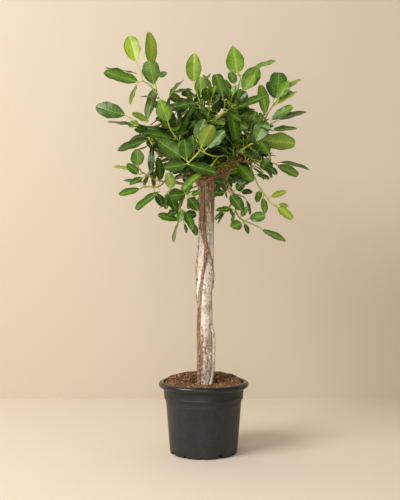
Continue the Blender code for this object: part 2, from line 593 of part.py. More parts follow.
def soil_mesh():
    """The root ball: it fills the pot's inside with a fine gap, and its top is the uneven surface."""
    clear = WALL + GAP + 0.0012
    side = [(wall_radius(0) - clear - 2 * FOOT_CORNER, FLOOR + GAP),
            (wall_radius(0) - clear - FOOT_CORNER, FLOOR + 1.4 * FOOT_CORNER),
            (wall_radius(BAND_BOTTOM) - clear, BAND_BOTTOM + 1.5 * WALL),
            (BAND_FOOT_RADIUS - clear, BAND_BOTTOM + 4 * WALL),
            (MOUTH_RADIUS - clear, POT_HEIGHT - LIP_DEPTH)]
    rings = [soil_ring(radius, height) for radius, height in side]
    rings += [soil_ring(share * (MOUTH_RADIUS - clear)) for share in (1.0, 0.82, 0.6, 0.38)]
    return loft("soil", rings)


def root_cutters():
    """The room that the trunk's foot and the two rooted aerial roots take in the soil."""
    rooted = [trunk_ring(section, grow=GAP) for section in TRUNK_SECTIONS[1:4]]
    foot = trunk_ring(TRUNK_SECTIONS[0], grow=GAP)
    foot = [(x, y, z - GAP) for x, y, z in foot]
    cut = [loft("trunk_room", [foot] + rooted)]
    for name in ("prop_root_right", "root_left"):
        rows = [list(row) for row in ROOTS[name]]
        rows[-1][2] -= GAP / CM
        cut.append(rows_to_rod(name + "_room", rows, grow=GAP * 1.3))
    return cut


coir = material("coir", (0.20, 0.10, 0.05), 0.95)
soil = joined("soil", "DIFFERENCE", soil_mesh(), root_cutters(), tree, coir)


# ---- Leafy shoots ---------------------------------------------------------------------------------------

def seat(near):
    """Where a shoot leaves the bark nearest to a place, a fine gap clear of it, and the way that bark faces."""
    spot, facing, _, _ = trunk_tree.find_nearest(near)
    return spot + facing * GAP * 1.3, facing


def nearest_on(points, target):
    """The place nearest to a target on a line through points."""
    best = points[0]
    for start, end in zip(points, points[1:]):
        along = end - start
        share = max(0.0, min(1.0, (target - start).dot(along) / along.length_squared))
        spot = start + along * share
        if (spot - target).length < (best - target).length:
            best = spot
    return best


def facing_of(axis, towards, shown):
    """A blade's upper normal: it shows a share of its face to a viewpoint and tilts the rest to the sky."""
    front = (towards - axis * towards.dot(axis)).normalized()
    sideways = axis.cross(front)
    if sideways.z < 0:
        sideways.negate()
    return (front * shown + sideways * math.sqrt(max(0.0, 1 - shown * shown))).normalized()


def set_leaf(row, stem):
    """A leaf of the table: its foot on the stem, its blade's two ends, its width and its upper normal."""
    start, end, width, shown = row
    base, tip = place(*start), place(*end)
    axis = (tip - base).normalized()
    return nearest_on(stem[2:], base - axis * 0.012), base, tip, width * CM, facing_of(axis, EYE - base, shown)


def grown_leaf(stem, part, bearing):
    """A grown shoot's leaf: part of the way from its first leaf to its last, at a bearing round its stem."""
    reach = (0.30 + 0.70 * part) * (len(stem) - 1)
    knot = min(int(reach), len(stem) - 2)
    along = (stem[knot + 1] - stem[knot]).normalized()
    foot = stem[knot].lerp(stem[knot + 1], reach - knot)
    outward = along.orthogonal().normalized()
    outward.rotate(Matrix.Rotation(bearing, 3, along))
    spread = PETIOLE_SPREAD * (1 - 0.6 * part)
    way = along * math.cos(spread) + outward * math.sin(spread)
    base = foot + way * PETIOLE
    axis = (way - Vector((0, 0, DROOP))).normalized()
    length = GROWN_LEAF[0] + (GROWN_LEAF[1] - GROWN_LEAF[0]) * part
    sky = Vector((0, 0, 1)) + along * 0.3
    upper = (sky - axis * sky.dot(axis)).normalized()
    return foot, base, base + axis * length, length * GROWN_WIDTH, upper


def moved_leaf(leaf, push, twist):
    """A leaf pushed back or forward on its petiole and twisted about its midrib."""
    foot, base, tip, width, upper = leaf
    shift = Vector((0, push * CM, 0))
    turned_upper = upper.copy()
    turned_upper.rotate(Matrix.Rotation(math.radians(twist), 3, (tip - base).normalized()))
    return foot, base + shift, tip + shift, width, turned_upper


def set_choices(row, stem):
    """The places that a set-out leaf may take, best first."""
    leaf = set_leaf(row, stem)
    return [moved_leaf(leaf, push, twist) for push in PUSHES for twist in TWISTS]


def grown_choices(stem, index, count, turn):
    """The places that a grown leaf may take, best first: a golden angle on from the leaf before, or near it."""
    part = index / (count - 1)
    return [moved_leaf(grown_leaf(stem, part, turn + index * GOLDEN_ANGLE + math.radians(swing)), push, 0)
            for push in PUSHES[:5] for swing in SWINGS]


def leaf_mesh(leaf, grow=0.0, with_petiole=True):
    """A leaf as a closed solid: a thin petiole that widens into a folded blade with a sharp edge."""
    foot, base, tip, width, upper = leaf
    axis = (tip - base).normalized()
    length = (tip - base).length
    side = axis.cross(upper)
    rings = []
    if with_petiole:
        thin = PETIOLE_RADIUS + grow
        way = (base - foot).normalized()
        for centre, heading in ((foot, way), (base, (way + axis * 0.6).normalized())):
            across = heading.cross(upper).normalized() * thin
            over = across.cross(heading)
            rings.append([centre - across, centre - over, centre + across, centre + over])
    thick = BLADE_THICKNESS / 2 + grow
    for share, breadth in BLADE:
        centre = base + axis * length * share + upper * length * ARCH * 4 * share * (1 - share)
        half = width / 2 * breadth + grow
        lift = upper * half * FOLD
        rings.append([centre - side * half + lift, centre - upper * thick,
                      centre + side * half + lift, centre + upper * thick])
    return loft("leaf", rings, tip=tip + axis * grow)


def set_stem(places):
    """A set-out shoot's stem: it leaves the bark squarely and then follows its places."""
    start, facing = seat(place(*places[0]))
    return [start, start + facing * 0.004] + [place(*spot) for spot in places[1:]]


def grown_stem(row):
    """A grown shoot's stem: it leaves the bark squarely, then bends up a little towards its end."""
    limb, share, bearing, rise, length, _ = row
    rows = LIMBS[limb]
    reach = share * (len(rows) - 1)
    knot = min(int(reach), len(rows) - 2)
    middle = Vector(rows[knot][:3]).lerp(Vector(rows[knot + 1][:3]), reach - knot) * CM
    bearing, rise = math.radians(bearing), math.radians(rise)
    way = Vector((math.cos(bearing) * math.cos(rise), math.sin(bearing) * math.cos(rise), math.sin(rise)))
    start, facing = seat(middle + way * 0.01)
    bend = Vector((0, 0, 0.10))
    return [start, start + facing * 0.004] + [
        start + facing * 0.004 + (way * part + bend * part * part) * length * CM for part in (0.33, 0.66, 1.0)]


def stem_radii(stem):
    """A stem's radius at each of its points."""
    last = len(stem) - 1
    return [STEM_FOOT_RADIUS + (STEM_TIP_RADIUS - STEM_FOOT_RADIUS) * index / last for index in range(last + 1)]


def stem_mesh(stem, push, grow=0.0):
    """A stem as a solid, pushed back or forward beyond the two points that seat it on the bark."""
    moved = stem[:2] + [point + Vector((0, push * CM, 0)) for point in stem[2:]]
    return moved, rod("stem", moved, stem_radii(stem), grow=grow)


def is_one_body(mesh):
    """Whether a mesh is a single closed body."""
    shape = bmesh.new()
    shape.from_mesh(mesh)
    closed = all(len(edge.link_faces) == 2 for edge in shape.edges)
    shape.verts.ensure_lookup_table()
    reached = {shape.verts[0]}
    waiting = [shape.verts[0]]
    while waiting:
        vertex = waiting.pop()
        for edge in vertex.link_edges:
            other = edge.other_vert(vertex)
            if other not in reached:
                reached.add(other)
                waiting.append(other)
    whole = len(reached) == len(shape.verts)
    shape.free()
    return closed and whole


def crosses(mesh, neighbours):
    """Whether a mesh crosses any of the neighbours' search trees. The mesh is used up."""
    own = tree_of(mesh)
    bpy.data.meshes.remove(mesh)
    return any(own.overlap(other) for other in neighbours)


leaf_green = material("leaf_green", (0.13, 0.27, 0.06), 0.4)
stems = {}
taken = {"pot": [tree_of(pot.data)], "soil": [tree_of(soil.data)], "trunk": [trunk_tree]}
plans = {name: (set_stem(places), None, rows) for name, (places, rows) in SHOOTS.items()}
for number, row in enumerate(GROWN, 1):
    plans[f"shoot_inner_{number:02d}"] = (grown_stem(row), row[5], number)

for name, (stem, _, _) in plans.items():
    neighbours = [found for other in taken.values() for found in other]
    for push in PUSHES:
        moved, tested = stem_mesh(stem, push, grow=CLEARANCE)
        rest = rod("rest_of_stem", moved[1:], stem_radii(moved)[1:], grow=CLEARANCE)
        bpy.data.meshes.remove(tested)
        if not crosses(rest, neighbours):
            break
    else:
        print("no room for the stem of", name)
    stems[name] = moved
    taken[name] = [tree_of(rod("stem", moved, stem_radii(moved)))]

for name, (_, count, rows) in plans.items():
    stem = stems[name]
    if count is None:
        wanted = [set_choices(row, stem) for row in rows]
    else:
        wanted = [grown_choices(stem[1:], index, count, rows) for index in range(count)]
    strangers = [found for other, found_list in taken.items() if other != name for found in found_list]
    blades = []
    shoot = piece(name, rod("stem", stem, stem_radii(stem)), tree, leaf_green)
    for index, choices in enumerate(wanted):
        clear = [leaf for leaf in choices if not crosses(leaf_mesh(leaf, grow=CLEARANCE), strangers)]
        free = [leaf for leaf in clear
                if not crosses(leaf_mesh(leaf, grow=CLEARANCE, with_petiole=False), blades)]
        for leaf in (free + clear)[:6]:
            grown = joined(name + "_trial", "UNION", shoot.data.copy(), [leaf_mesh(leaf)], cutters, leaf_green)
            mesh = grown.data
            bpy.data.objects.remove(grown)
            if is_one_body(mesh):
                shoot.data = mesh
                blades.append(tree_of(leaf_mesh(leaf, with_petiole=False)))
                taken[name].append(tree_of(leaf_mesh(leaf)))
                break
        else:
            print("no room for leaf", index, "of", name)
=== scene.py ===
"""Potted banyan tree: the finish of a young Ficus benghalensis standard in its black nursery pot.

The file follows the plant as it is put together: pot, soil, trunk, aerial roots, shoots, then the room.
Lengths are metres unless a name or comment says otherwise.
"""
import math
import random

import bmesh
import bpy
import numpy as np
from mathutils import Matrix, Vector, kdtree, noise
from mathutils.bvhtree import BVHTree


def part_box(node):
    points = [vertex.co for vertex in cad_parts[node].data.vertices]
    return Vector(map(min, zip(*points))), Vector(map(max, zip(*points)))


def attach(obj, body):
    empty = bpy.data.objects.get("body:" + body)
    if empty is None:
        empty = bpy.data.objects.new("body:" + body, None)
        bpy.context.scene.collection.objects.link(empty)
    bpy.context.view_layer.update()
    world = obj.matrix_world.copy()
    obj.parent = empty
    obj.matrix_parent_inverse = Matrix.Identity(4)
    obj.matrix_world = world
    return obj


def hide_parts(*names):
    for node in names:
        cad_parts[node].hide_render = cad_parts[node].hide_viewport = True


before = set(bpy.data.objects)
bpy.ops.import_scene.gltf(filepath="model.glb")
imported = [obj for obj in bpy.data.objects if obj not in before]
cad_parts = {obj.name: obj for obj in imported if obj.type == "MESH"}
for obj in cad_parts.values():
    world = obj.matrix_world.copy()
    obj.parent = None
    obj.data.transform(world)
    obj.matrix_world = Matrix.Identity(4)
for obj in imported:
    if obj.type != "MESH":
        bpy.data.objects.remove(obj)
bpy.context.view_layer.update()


# ---- Pot ------------------------------------------------------------------------------------------------
# A nursery container of injection-moulded polypropylene, carbon black. Its lip is rolled over a wide band,
# two fine ridge lines run below the band, and notches round the foot let water out.

_, POT_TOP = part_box("pot")
POT_HEIGHT = POT_TOP[2]
LIP_RADIUS = POT_TOP[0]
LIP_DEPTH = 0.020
LIP_FOOT = POT_HEIGHT - LIP_DEPTH
LIP_ROLL = 0.0105            # radius of the lip's rolled top
LIP_HEM = 0.0085             # radius of its rolled lower edge
MOUTH_RADIUS = 0.142
MOUTH_ROUND = 0.004          # rounding of the mouth's inner edge
BAND_BOTTOM = 0.189
BAND_TOP_RADIUS = 0.1425
BAND_FOOT_RADIUS = 0.1392
BAND_ROUND = 0.001           # rounding of the band's lower edge
HEM_FILLET = 0.003           # rounded corner where the lip meets the band, and the band the wall
BAND_FILLET = 0.0015
WALL_TOP_RADIUS = 0.1345
FOOT_RADIUS = 0.1192
FOOT_CORNER = 0.008          # slant of the foot's inner corner, and rounding of its outer edge
FOOT_ROUND = 0.004
WALL = 0.0022
FLOOR = 0.0050
RIDGE_LINES = (0.1812, 0.1750)
BAND_LINE = 0.1990
BEAD = ((0.0001, 0.0010), (0.0005, 0.0003), (0.0005, -0.0003), (-0.0001, -0.0010))   # out and up
WALL_ROWS = (0.12, 0.08, 0.04, 0.015)
DRAINS = 12
FIRST_DRAIN = math.radians(-62)
DRAIN_RADIUS = 0.0068
LARGE_DRAIN_RADIUS = 0.0125
DRAIN_LEVEL = 0.0035
DRAIN_SQUASH = 0.80          # a drain's height as a share of its width


def linear(code):
    """An sRGB hex colour as linear red, green, blue and alpha."""
    channels = [int(code[start:start + 2], 16) / 255 for start in (1, 3, 5)]
    return [c / 12.92 if c <= 0.04045 else ((c + 0.055) / 1.055) ** 2.4 for c in channels] + [1.0]


def every(size):
    """The scale of a pattern whose features lie a size in millimetres apart."""
    return 1000 / size


def add(material, kind, inputs=(), stops=(), **settings):
    """Adds a shader node to a material, with its settings and its colour ramp's stops.

    Inputs have names, or come in the node's own order: a Mix takes its share and two colours, a MapRange the
    value, where it starts and ends, and what that becomes. An input is a number, a hex colour, a socket, or a
    node that gives its first output.
    """
    made = material.node_tree.nodes.new("ShaderNode" + kind)
    for name, value in settings.items():
        setattr(made, name, value)
    if not isinstance(inputs, dict):
        inputs = dict(zip([index for index, socket in enumerate(made.inputs) if socket.enabled], inputs))
    for name, value in inputs.items():
        if isinstance(value, bpy.types.Node):
            value = next(socket for socket in value.outputs if socket.enabled)
        if isinstance(value, bpy.types.NodeSocket):
            material.node_tree.links.new(value, made.inputs[name])
        else:
            made.inputs[name].default_value = linear(value) if isinstance(value, str) else value
    while stops and len(made.color_ramp.elements) < len(stops):
        made.color_ramp.elements.new(0.5)
    for element, (position, code) in zip(made.color_ramp.elements if stops else (), stops):
        element.position = position
        element.color = linear(code)
    return made


def new_material(name):
    """A material with only its output node, ready for a shader."""
    made = bpy.data.materials.new(name)
    made.use_nodes = True
    for old in list(made.node_tree.nodes):
        if old.type != "OUTPUT_MATERIAL":
            made.node_tree.nodes.remove(old)
    return made


def finish_with(material, shader):
    """Takes a shader node to a material's output."""
    output = next(one for one in material.node_tree.nodes if one.type == "OUTPUT_MATERIAL")
    material.node_tree.links.new(shader.outputs[0], output.inputs["Surface"])
    return material


def moulded_polypropylene():
    """Carbon-black polypropylene as moulded: a satin skin with faint flow marks and a film of dust. The
    handled lip is
    smoother: it shines more. The band under the lip is darkened with painted shade, which stands in for the
    lip's shadow. The skin's own grain is finer, and drawn as coarse as it needs to show."""
    plastic = new_material("moulded_polypropylene")
    place = add(plastic, "TexCoord").outputs["Object"]
    drawn = add(plastic, "Mapping", {"Vector": place, "Scale": (every(71.4), every(71.4), every(333))})
    flow = add(plastic, "TexNoise", {"Vector": drawn, "Scale": 1.0, "Detail": 4.0, "Roughness": 0.6})
    dust = add(plastic, "TexNoise", {"Vector": place, "Scale": every(18.2), "Detail": 6.0, "Roughness": 0.7})
    dusted = add(plastic, "MapRange", (dust, 0.45, 0.80, 0.0, 0.24))
    tone = add(plastic, "Mix", (flow, "#17181a", "#222325"), data_type="RGBA")
    colour = add(plastic, "Mix", (dusted, tone, "#4c4a48"), data_type="RGBA")
    height = add(plastic, "SeparateXYZ", {"Vector": place}).outputs["Z"]
    # Painted shade: the band under the lip is mixed towards near black, standing in for the lip's shadow.
    on_band = add(plastic, "MapRange", (height, BAND_BOTTOM - 0.001, BAND_BOTTOM + 0.012, 0.0, 0.75))
    painted_band_shade = add(plastic, "Mix", (on_band, colour, "#121315"), data_type="RGBA")
    rough = add(plastic, "MapRange", (flow, 0.3, 0.7, 0.40, 0.52))
    on_lip = add(plastic, "MapRange", (height, LIP_FOOT, LIP_FOOT + 0.004, 1.0, 0.54))
    rubbed = add(plastic, "Math", (rough, on_lip), operation="MULTIPLY")
    skin = add(plastic, "TexNoise", {"Vector": place, "Scale": every(1.11), "Detail": 2.0})
    bump = add(plastic, "Bump", {"Height": skin, "Strength": 0.12, "Distance": 0.0004})
    shader = add(plastic, "BsdfPrincipled", {"Base Color": painted_band_shade, "Roughness": rubbed, "IOR": 1.49,
                                             "Normal": bump})
    return finish_with(plastic, shader)


def wall_radius(height):
    """Radius of the tapering wall's outside, between the foot and the band."""
    return FOOT_RADIUS + (WALL_TOP_RADIUS - FOOT_RADIUS) * height / BAND_BOTTOM


def arc(centre_r, centre_z, radius, start, stop, steps):
    """Points of a rounded corner in the pot's section, from one angle in degrees to another."""
    angles = [math.radians(start + (stop - start) * step / steps) for step in range(steps + 1)]
    return [(centre_r + radius * math.cos(angle), centre_z + radius * math.sin(angle)) for angle in angles]


def pot_section():
    """The pot's section: up the inside, over the rolled lip, and down the outside to the foot."""
    section = [(0.0, FLOOR), (wall_radius(0) - WALL - FOOT_CORNER, FLOOR),
               (wall_radius(FLOOR) - WALL, FLOOR + FOOT_CORNER),
               (wall_radius(BAND_BOTTOM) - WALL, BAND_BOTTOM + WALL),
               (BAND_FOOT_RADIUS - WALL, BAND_BOTTOM + 3 * WALL), (MOUTH_RADIUS - WALL, LIP_FOOT)]
    section += arc(MOUTH_RADIUS + MOUTH_ROUND, POT_HEIGHT - MOUTH_ROUND, MOUTH_ROUND, 180, 90, 5)
    section += arc(LIP_RADIUS - LIP_ROLL, POT_HEIGHT - LIP_ROLL, LIP_ROLL, 90, 0, 10)
    section += arc(LIP_RADIUS - LIP_HEM, LIP_FOOT + LIP_HEM, LIP_HEM, 0, -90, 8)
    section += [(BAND_TOP_RADIUS + HEM_FILLET + 0.001, LIP_FOOT)]
    section += arc(BAND_TOP_RADIUS + HEM_FILLET, LIP_FOOT - HEM_FILLET, HEM_FILLET, 90, 180, 3)
    down_band = (LIP_FOOT - BAND_LINE) / (LIP_FOOT - BAND_BOTTOM)
    line = BAND_TOP_RADIUS + (BAND_FOOT_RADIUS - BAND_TOP_RADIUS) * down_band
    section += [(line + out, BAND_LINE + up) for out, up in BEAD]
    section += arc(BAND_FOOT_RADIUS - BAND_ROUND, BAND_BOTTOM + BAND_ROUND, BAND_ROUND, 0, -90, 4)
    section += arc(wall_radius(BAND_BOTTOM) + BAND_FILLET, BAND_BOTTOM - BAND_FILLET, BAND_FILLET, 90, 180, 3)
    for height in RIDGE_LINES:
        section += [(wall_radius(height + 0.0016), height + 0.0016),
                    (wall_radius(height) + 0.0006, height + 0.0004),
                    (wall_radius(height) + 0.0006, height - 0.0005),
                    (wall_radius(height - 0.0018), height - 0.0018)]
    section += [(wall_radius(height), height) for height in WALL_ROWS]
    section += arc(wall_radius(0) - FOOT_ROUND, FOOT_ROUND, FOOT_ROUND, 0, -90, 5)
    return section + [(0.0, 0.0)]


def applied(piece):
    """A piece's mesh as its modifiers leave it, which then takes the place of its own mesh."""
    depsgraph = bpy.context.evaluated_depsgraph_get()
    result = bpy.data.meshes.new_from_object(piece.evaluated_get(depsgraph))
    piece.modifiers.clear()
    piece.data = result
    return piece


def modify(piece, kind, **settings):
    """Adds a modifier with its settings to a piece."""
    change = piece.modifiers.new(kind, kind)
    for name, value in settings.items():
        setattr(change, name, value)


def mesh_piece(name, corners, faces, marks=None, edges=()):
    """A smooth-shaded object from corners and faces, with number marks on its corners."""
    mesh = bpy.data.meshes.new(name)
    mesh.from_pydata([tuple(corner) for corner in corners], edges, faces)
    set_marks(mesh, marks or {})
    mesh.shade_smooth()
    piece = bpy.data.objects.new(name, mesh)
    bpy.context.scene.collection.objects.link(piece)
    return piece


def set_marks(mesh, marks):
    """Writes number marks on a mesh's corners, which its materials read."""
    for mark, values in marks.items():
        mesh.attributes.new(mark, "FLOAT", "POINT").data.foreach_set("value", np.asarray(values, np.float32))


def cut_drains(pot):
    """Cuts all the foot's notches with short cylinders that lie across the foot's corner."""
    cutter = mesh_piece("drain_cutter", [], [])
    shape = bmesh.new()
    for index in range(DRAINS):
        bearing = math.tau * index / DRAINS + FIRST_DRAIN
        radius = LARGE_DRAIN_RADIUS if index % 3 == 0 else DRAIN_RADIUS
        one = bmesh.ops.create_cone(shape, cap_ends=True, segments=24, radius1=radius, radius2=radius,
                                    depth=0.10)
        lying = (Matrix.Rotation(bearing - math.pi / 2, 4, "Z")
                 @ Matrix.Translation((wall_radius(0), 0, DRAIN_LEVEL))
                 @ Matrix.Scale(DRAIN_SQUASH, 4, (0, 0, 1)) @ Matrix.Rotation(math.radians(90), 4, "Y"))
        bmesh.ops.transform(shape, matrix=lying, verts=one["verts"])
    shape.to_mesh(cutter.data)
    shape.free()
    modify(pot, "BOOLEAN", operation="DIFFERENCE", solver="EXACT", object=cutter)
    applied(pot)
    bpy.data.objects.remove(cutter)


def turned_pot():
    """The container, turned from its section, notched at the foot and shaded smooth between its edges."""
    points = [(radius, 0.0, height) for radius, height in pot_section()]
    edges = [(index, index + 1) for index in range(len(points) - 1)]
    pot = mesh_piece("nursery_pot", points, [], edges=edges)
    modify(pot, "SCREW", steps=160, render_steps=160, use_merge_vertices=True, merge_threshold=0.00005)
    applied(pot)
    cut_drains(pot)
    pot.data.shade_smooth()
    pot.data.set_sharp_from_angle(angle=math.radians(40))
    return pot


pot = turned_pot()
pot.data.materials.clear()
pot.data.materials.append(moulded_polypropylene())
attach(pot, "root")
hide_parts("pot")


# ---- Soil -----------------------------------------------------------------------------------------------
# Damp potting mix of coir and shredded bark, pressed level at the front and heaped behind the stem. A rough
# bed carries loose bark chips and coir fibres, which are geometry and cast their own small shadows.

SOIL_EDGE = 0.2425           # height of the soil at the pot's wall
SOIL_MOUND = 0.029           # how far it is heaped behind the stem, and how far it dips in front
SOIL_DIP = 0.005
SOIL_RADIUS = MOUTH_RADIUS - 0.003
LITTER_RADIUS = SOIL_RADIUS - 0.004  # how far out the loose pieces lie
CHIPS = 2600
FIBRES = 420
STEM_CLEAR = 0.022           # half width of the stem's foot, which the loose chips keep off


def soil_height(x, y):
    """Height of the soil: a mound behind the stem, a shallow dip in front of it."""
    back = min(max((y + 0.02) / 0.10, 0.0), 1.0)
    edge = math.hypot(x, y) / MOUTH_RADIUS
    mound = SOIL_MOUND * back * back * (3 - 2 * back) * (1 - 0.55 * edge ** 4)
    return SOIL_EDGE + mound - SOIL_DIP * (1 - edge ** 2) * (1 - back)


def crumbled(x, y):
    """The soil's height with its clods and crumbs."""
    clod = noise.noise(Vector((x, y, 0.3)) * 45) * 0.0026
    crumb = noise.noise(Vector((x, y, 5.1)) * 170) * 0.0016
    fine = noise.noise(Vector((x, y, 9.7)) * 420) * 0.0008
    return soil_height(x, y) + clod + crumb + fine


def soil_bed():
    """The bed's top as rings of fine corners, closed by a wall that drops down inside the pot."""
    rings, spokes = 70, 220
    corners, faces = [(0.0, 0.0, crumbled(0, 0))], []
    for ring in range(1, rings + 1):
        radius = SOIL_RADIUS * ring / rings
        for spoke in range(spokes):
            angle = math.tau * spoke / spokes
            x, y = radius * math.cos(angle), radius * math.sin(angle)
            corners.append((x, y, crumbled(x, y)))
    corners += [(x, y, POT_HEIGHT - 2.5 * LIP_DEPTH) for x, y, _ in corners[-spokes:]]
    for spoke in range(spokes):
        after = (spoke + 1) % spokes
        faces.append((0, 1 + spoke, 1 + after))
        for ring in range(rings):
            inner, outer = 1 + ring * spokes, 1 + (ring + 1) * spokes
            faces.append((inner + spoke, outer + spoke, outer + after, inner + after))
    faces.append([1 + rings * spokes + spoke for spoke in reversed(range(spokes))])
    return mesh_piece("soil_bed", corners, faces)


def sweep(points, radii, sides=8):
    """Corners and faces of a round tube through points, closed at both ends."""
    points = [Vector(point) for point in points]
    last = len(points) - 1
    across = None
    corners, faces = [], []
    for index, point in enumerate(points):
        along = (points[min(index + 1, last)] - points[max(index - 1, 0)]).normalized()
        if across is None:
            across = along.orthogonal().normalized()
        across = (across - along * across.dot(along)).normalized()
        over = along.cross(across)
        for side in range(sides):
            angle = math.tau * side / sides
            corners.append(point + (across * math.cos(angle) + over * math.sin(angle)) * radii[index])
    for index in range(last):
        for side in range(sides):
            after = (side + 1) % sides
            start, end = index * sides, (index + 1) * sides
            faces.append((start + side, start + after, end + after, end + side))
    faces.append([side for side in reversed(range(sides))])
    faces.append([last * sides + side for side in range(sides)])
    return corners, faces


def joined_parts(name, parts):
    """One object from many (corners, faces, mark) parts, each with its own value of the mark 'tone'."""
    corners, faces, tones = [], [], []
    for part_corners, part_faces, tone in parts:
        start = len(corners)
        corners += [tuple(corner) for corner in part_corners]
        faces += [[start + index for index in face] for face in part_faces]
        tones += [tone] * len(part_corners)
    return mesh_piece(name, corners, faces, {"tone": tones})


def soil_spot(dice):
    """A spot on the soil that is clear of the stem's foot."""
    while True:
        angle = dice.uniform(0, math.tau)
        radius = math.sqrt(dice.random()) * LITTER_RADIUS
        x, y = radius * math.cos(angle), radius * math.sin(angle)
        if math.hypot(x, y) > STEM_CLEAR:
            return x, y


def bark_chip(dice):
    """A torn bark chip: a flat block with every corner out of true, lying on the soil at a slant."""
    x, y = soil_spot(dice)
    length = dice.uniform(0.0025, 0.0080)
    width = length * dice.uniform(0.30, 0.65)
    thick = length * dice.uniform(0.12, 0.30)
    shape = [Vector((end * length * dice.uniform(0.35, 0.6), side * width * dice.uniform(0.3, 0.6),
                     level * thick * dice.uniform(0.35, 0.6)))
             for end in (-1, 1) for side in (-1, 1) for level in (-1, 1)]
    turn = (Matrix.Rotation(dice.uniform(0, math.tau), 3, "Z") @ Matrix.Rotation(dice.gauss(0, 0.45), 3, "X")
            @ Matrix.Rotation(dice.gauss(0, 0.35), 3, "Y"))
    rest = Vector((x, y, crumbled(x, y) + thick * 0.4))
    corners = [rest + turn @ corner for corner in shape]
    faces = [(0, 1, 3, 2), (4, 6, 7, 5), (0, 4, 5, 1), (2, 3, 7, 6), (0, 2, 6, 4), (1, 5, 7, 3)]
    return corners, faces, dice.random()


def coir_fibre(dice):
    """A loose coir fibre: a thin curled strand that lies on the soil."""
    x, y = soil_spot(dice)
    heading = dice.uniform(0, math.tau)
    bend = dice.gauss(0, 1.0)
    length = dice.uniform(0.008, 0.026)
    points = []
    for step in range(6):
        points.append((x, y, crumbled(x, y) + 0.0012 + 0.0012 * math.sin(step * 1.3 + bend)))
        nx, ny = x + math.cos(heading) * length / 5, y + math.sin(heading) * length / 5
        if math.hypot(nx, ny) < LITTER_RADIUS:
            x, y = nx, ny
        heading += bend * 0.35
    return *sweep(points, [0.00035, 0.0005, 0.0005, 0.0005, 0.0004, 0.0002], sides=4), dice.uniform(0.45, 1.0)


def coir_and_bark():
    """Shredded bark and coir: rough and matt, from near black through fox brown to pale where it is torn."""
    litter = new_material("coir_and_bark")
    place = add(litter, "TexCoord").outputs["Object"]
    mark = add(litter, "Attribute", attribute_name="tone").outputs["Fac"]
    patch = add(litter, "TexNoise", {"Vector": place, "Scale": every(6.25), "Detail": 6.0, "Roughness": 0.7})
    share = add(litter, "Math", (mark, patch), operation="ADD")
    spread = add(litter, "MapRange", (share, 0.55, 1.5))
    dark = add(litter, "Mix", (spread, "#3a2412", "#aa7645"), data_type="RGBA")
    torn = add(litter, "MapRange", (share, 1.20, 1.6))
    colour = add(litter, "Mix", (torn, dark, "#dcae7a"), data_type="RGBA")
    grain = add(litter, "TexNoise", {"Vector": place, "Scale": every(1.43), "Detail": 5.0})
    bump = add(litter, "Bump", {"Height": grain, "Strength": 0.6, "Distance": 0.0006})
    shader = add(litter, "BsdfPrincipled", {"Base Color": colour, "Roughness": 0.88, "Normal": bump})
    return finish_with(litter, shader)


litter = coir_and_bark()
bed = soil_bed()
bed.data.materials.append(litter)
dice = random.Random(11)
loose = joined_parts("bark_chips", [bark_chip(dice) for _ in range(CHIPS)])
loose.data.shade_flat()
fibres = joined_parts("coir_fibres", [coir_fibre(dice) for _ in range(FIBRES)])
for piece in (loose, fibres):
    piece.data.materials.append(litter)
for piece in (bed, loose, fibres):
    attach(piece, "root")
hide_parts("soil")


# ---- Trunk and limbs ------------------------------------------------------------------------------------
# One stem that grew together from several: pale corky bark low down, browner and streaked below the crown,
# where it forks into limbs. Aerial roots came down it and fused with it; they keep a redder skin.

CM = 0.01
BARK_GRAIN = 0.0022          # edge of the finest facet that the bark is modelled with
STREAKS_FROM = 0.74          # height at which the pale bark starts to give way to the brown
STREAKS_FULL = 0.86

# Aerial roots on the trunk: across, depth, height and radius in centimetres
ROOTS = (
    ((2.4, -0.6, 45.0, 0.5), (3.5, -0.9, 42.0, 0.6), (3.8, -1.0, 36.0, 0.6), (3.6, -1.0, 29.0, 0.6),
     (3.3, -1.1, 24.5, 0.65), (3.2, -1.1, 20.0, 0.6)),
    ((-1.0, -1.9, 58.0, 0.5), (-1.7, -1.7, 50.0, 0.55), (-2.0, -1.4, 43.0, 0.55), (-1.9, -1.5, 34.0, 0.55),
     (-1.7, -1.6, 26.0, 0.6), (-1.8, -1.7, 20.0, 0.6)),
    ((-0.3, -2.2, 93.0, 0.4), (-0.1, -2.6, 84.0, 0.4), (0.5, -2.6, 75.0, 0.45), (1.6, -2.6, 71.0, 0.45),
     (3.0, -1.9, 66.0, 0.45), (3.5, -0.8, 62.5, 0.4), (3.1, -0.4, 58.0, 0.4)),
    ((-1.5, -1.3, 88.0, 0.35), (-1.0, -2.2, 79.0, 0.4), (0.8, -2.6, 73.0, 0.4), (0.5, -2.6, 67.0, 0.4),
     (-0.4, -2.5, 62.5, 0.4), (-1.2, -2.1, 58.0, 0.45)),
    ((-1.4, -0.6, 76.0, 0.25), (-2.1, -0.6, 72.0, 0.25), (-2.7, -0.5, 65.0, 0.25), (-2.6, -0.5, 56.0, 0.25),
     (-2.2, -0.5, 53.0, 0.25)),
)
ROOT_REDNESS = (0.10, 0.85, 1.0, 1.0, 0.85)
ROOT_STEPS = 16              # places that are taken between each two of a root's rows
LIMB_STEPS = 10              # and between each two of a limb's

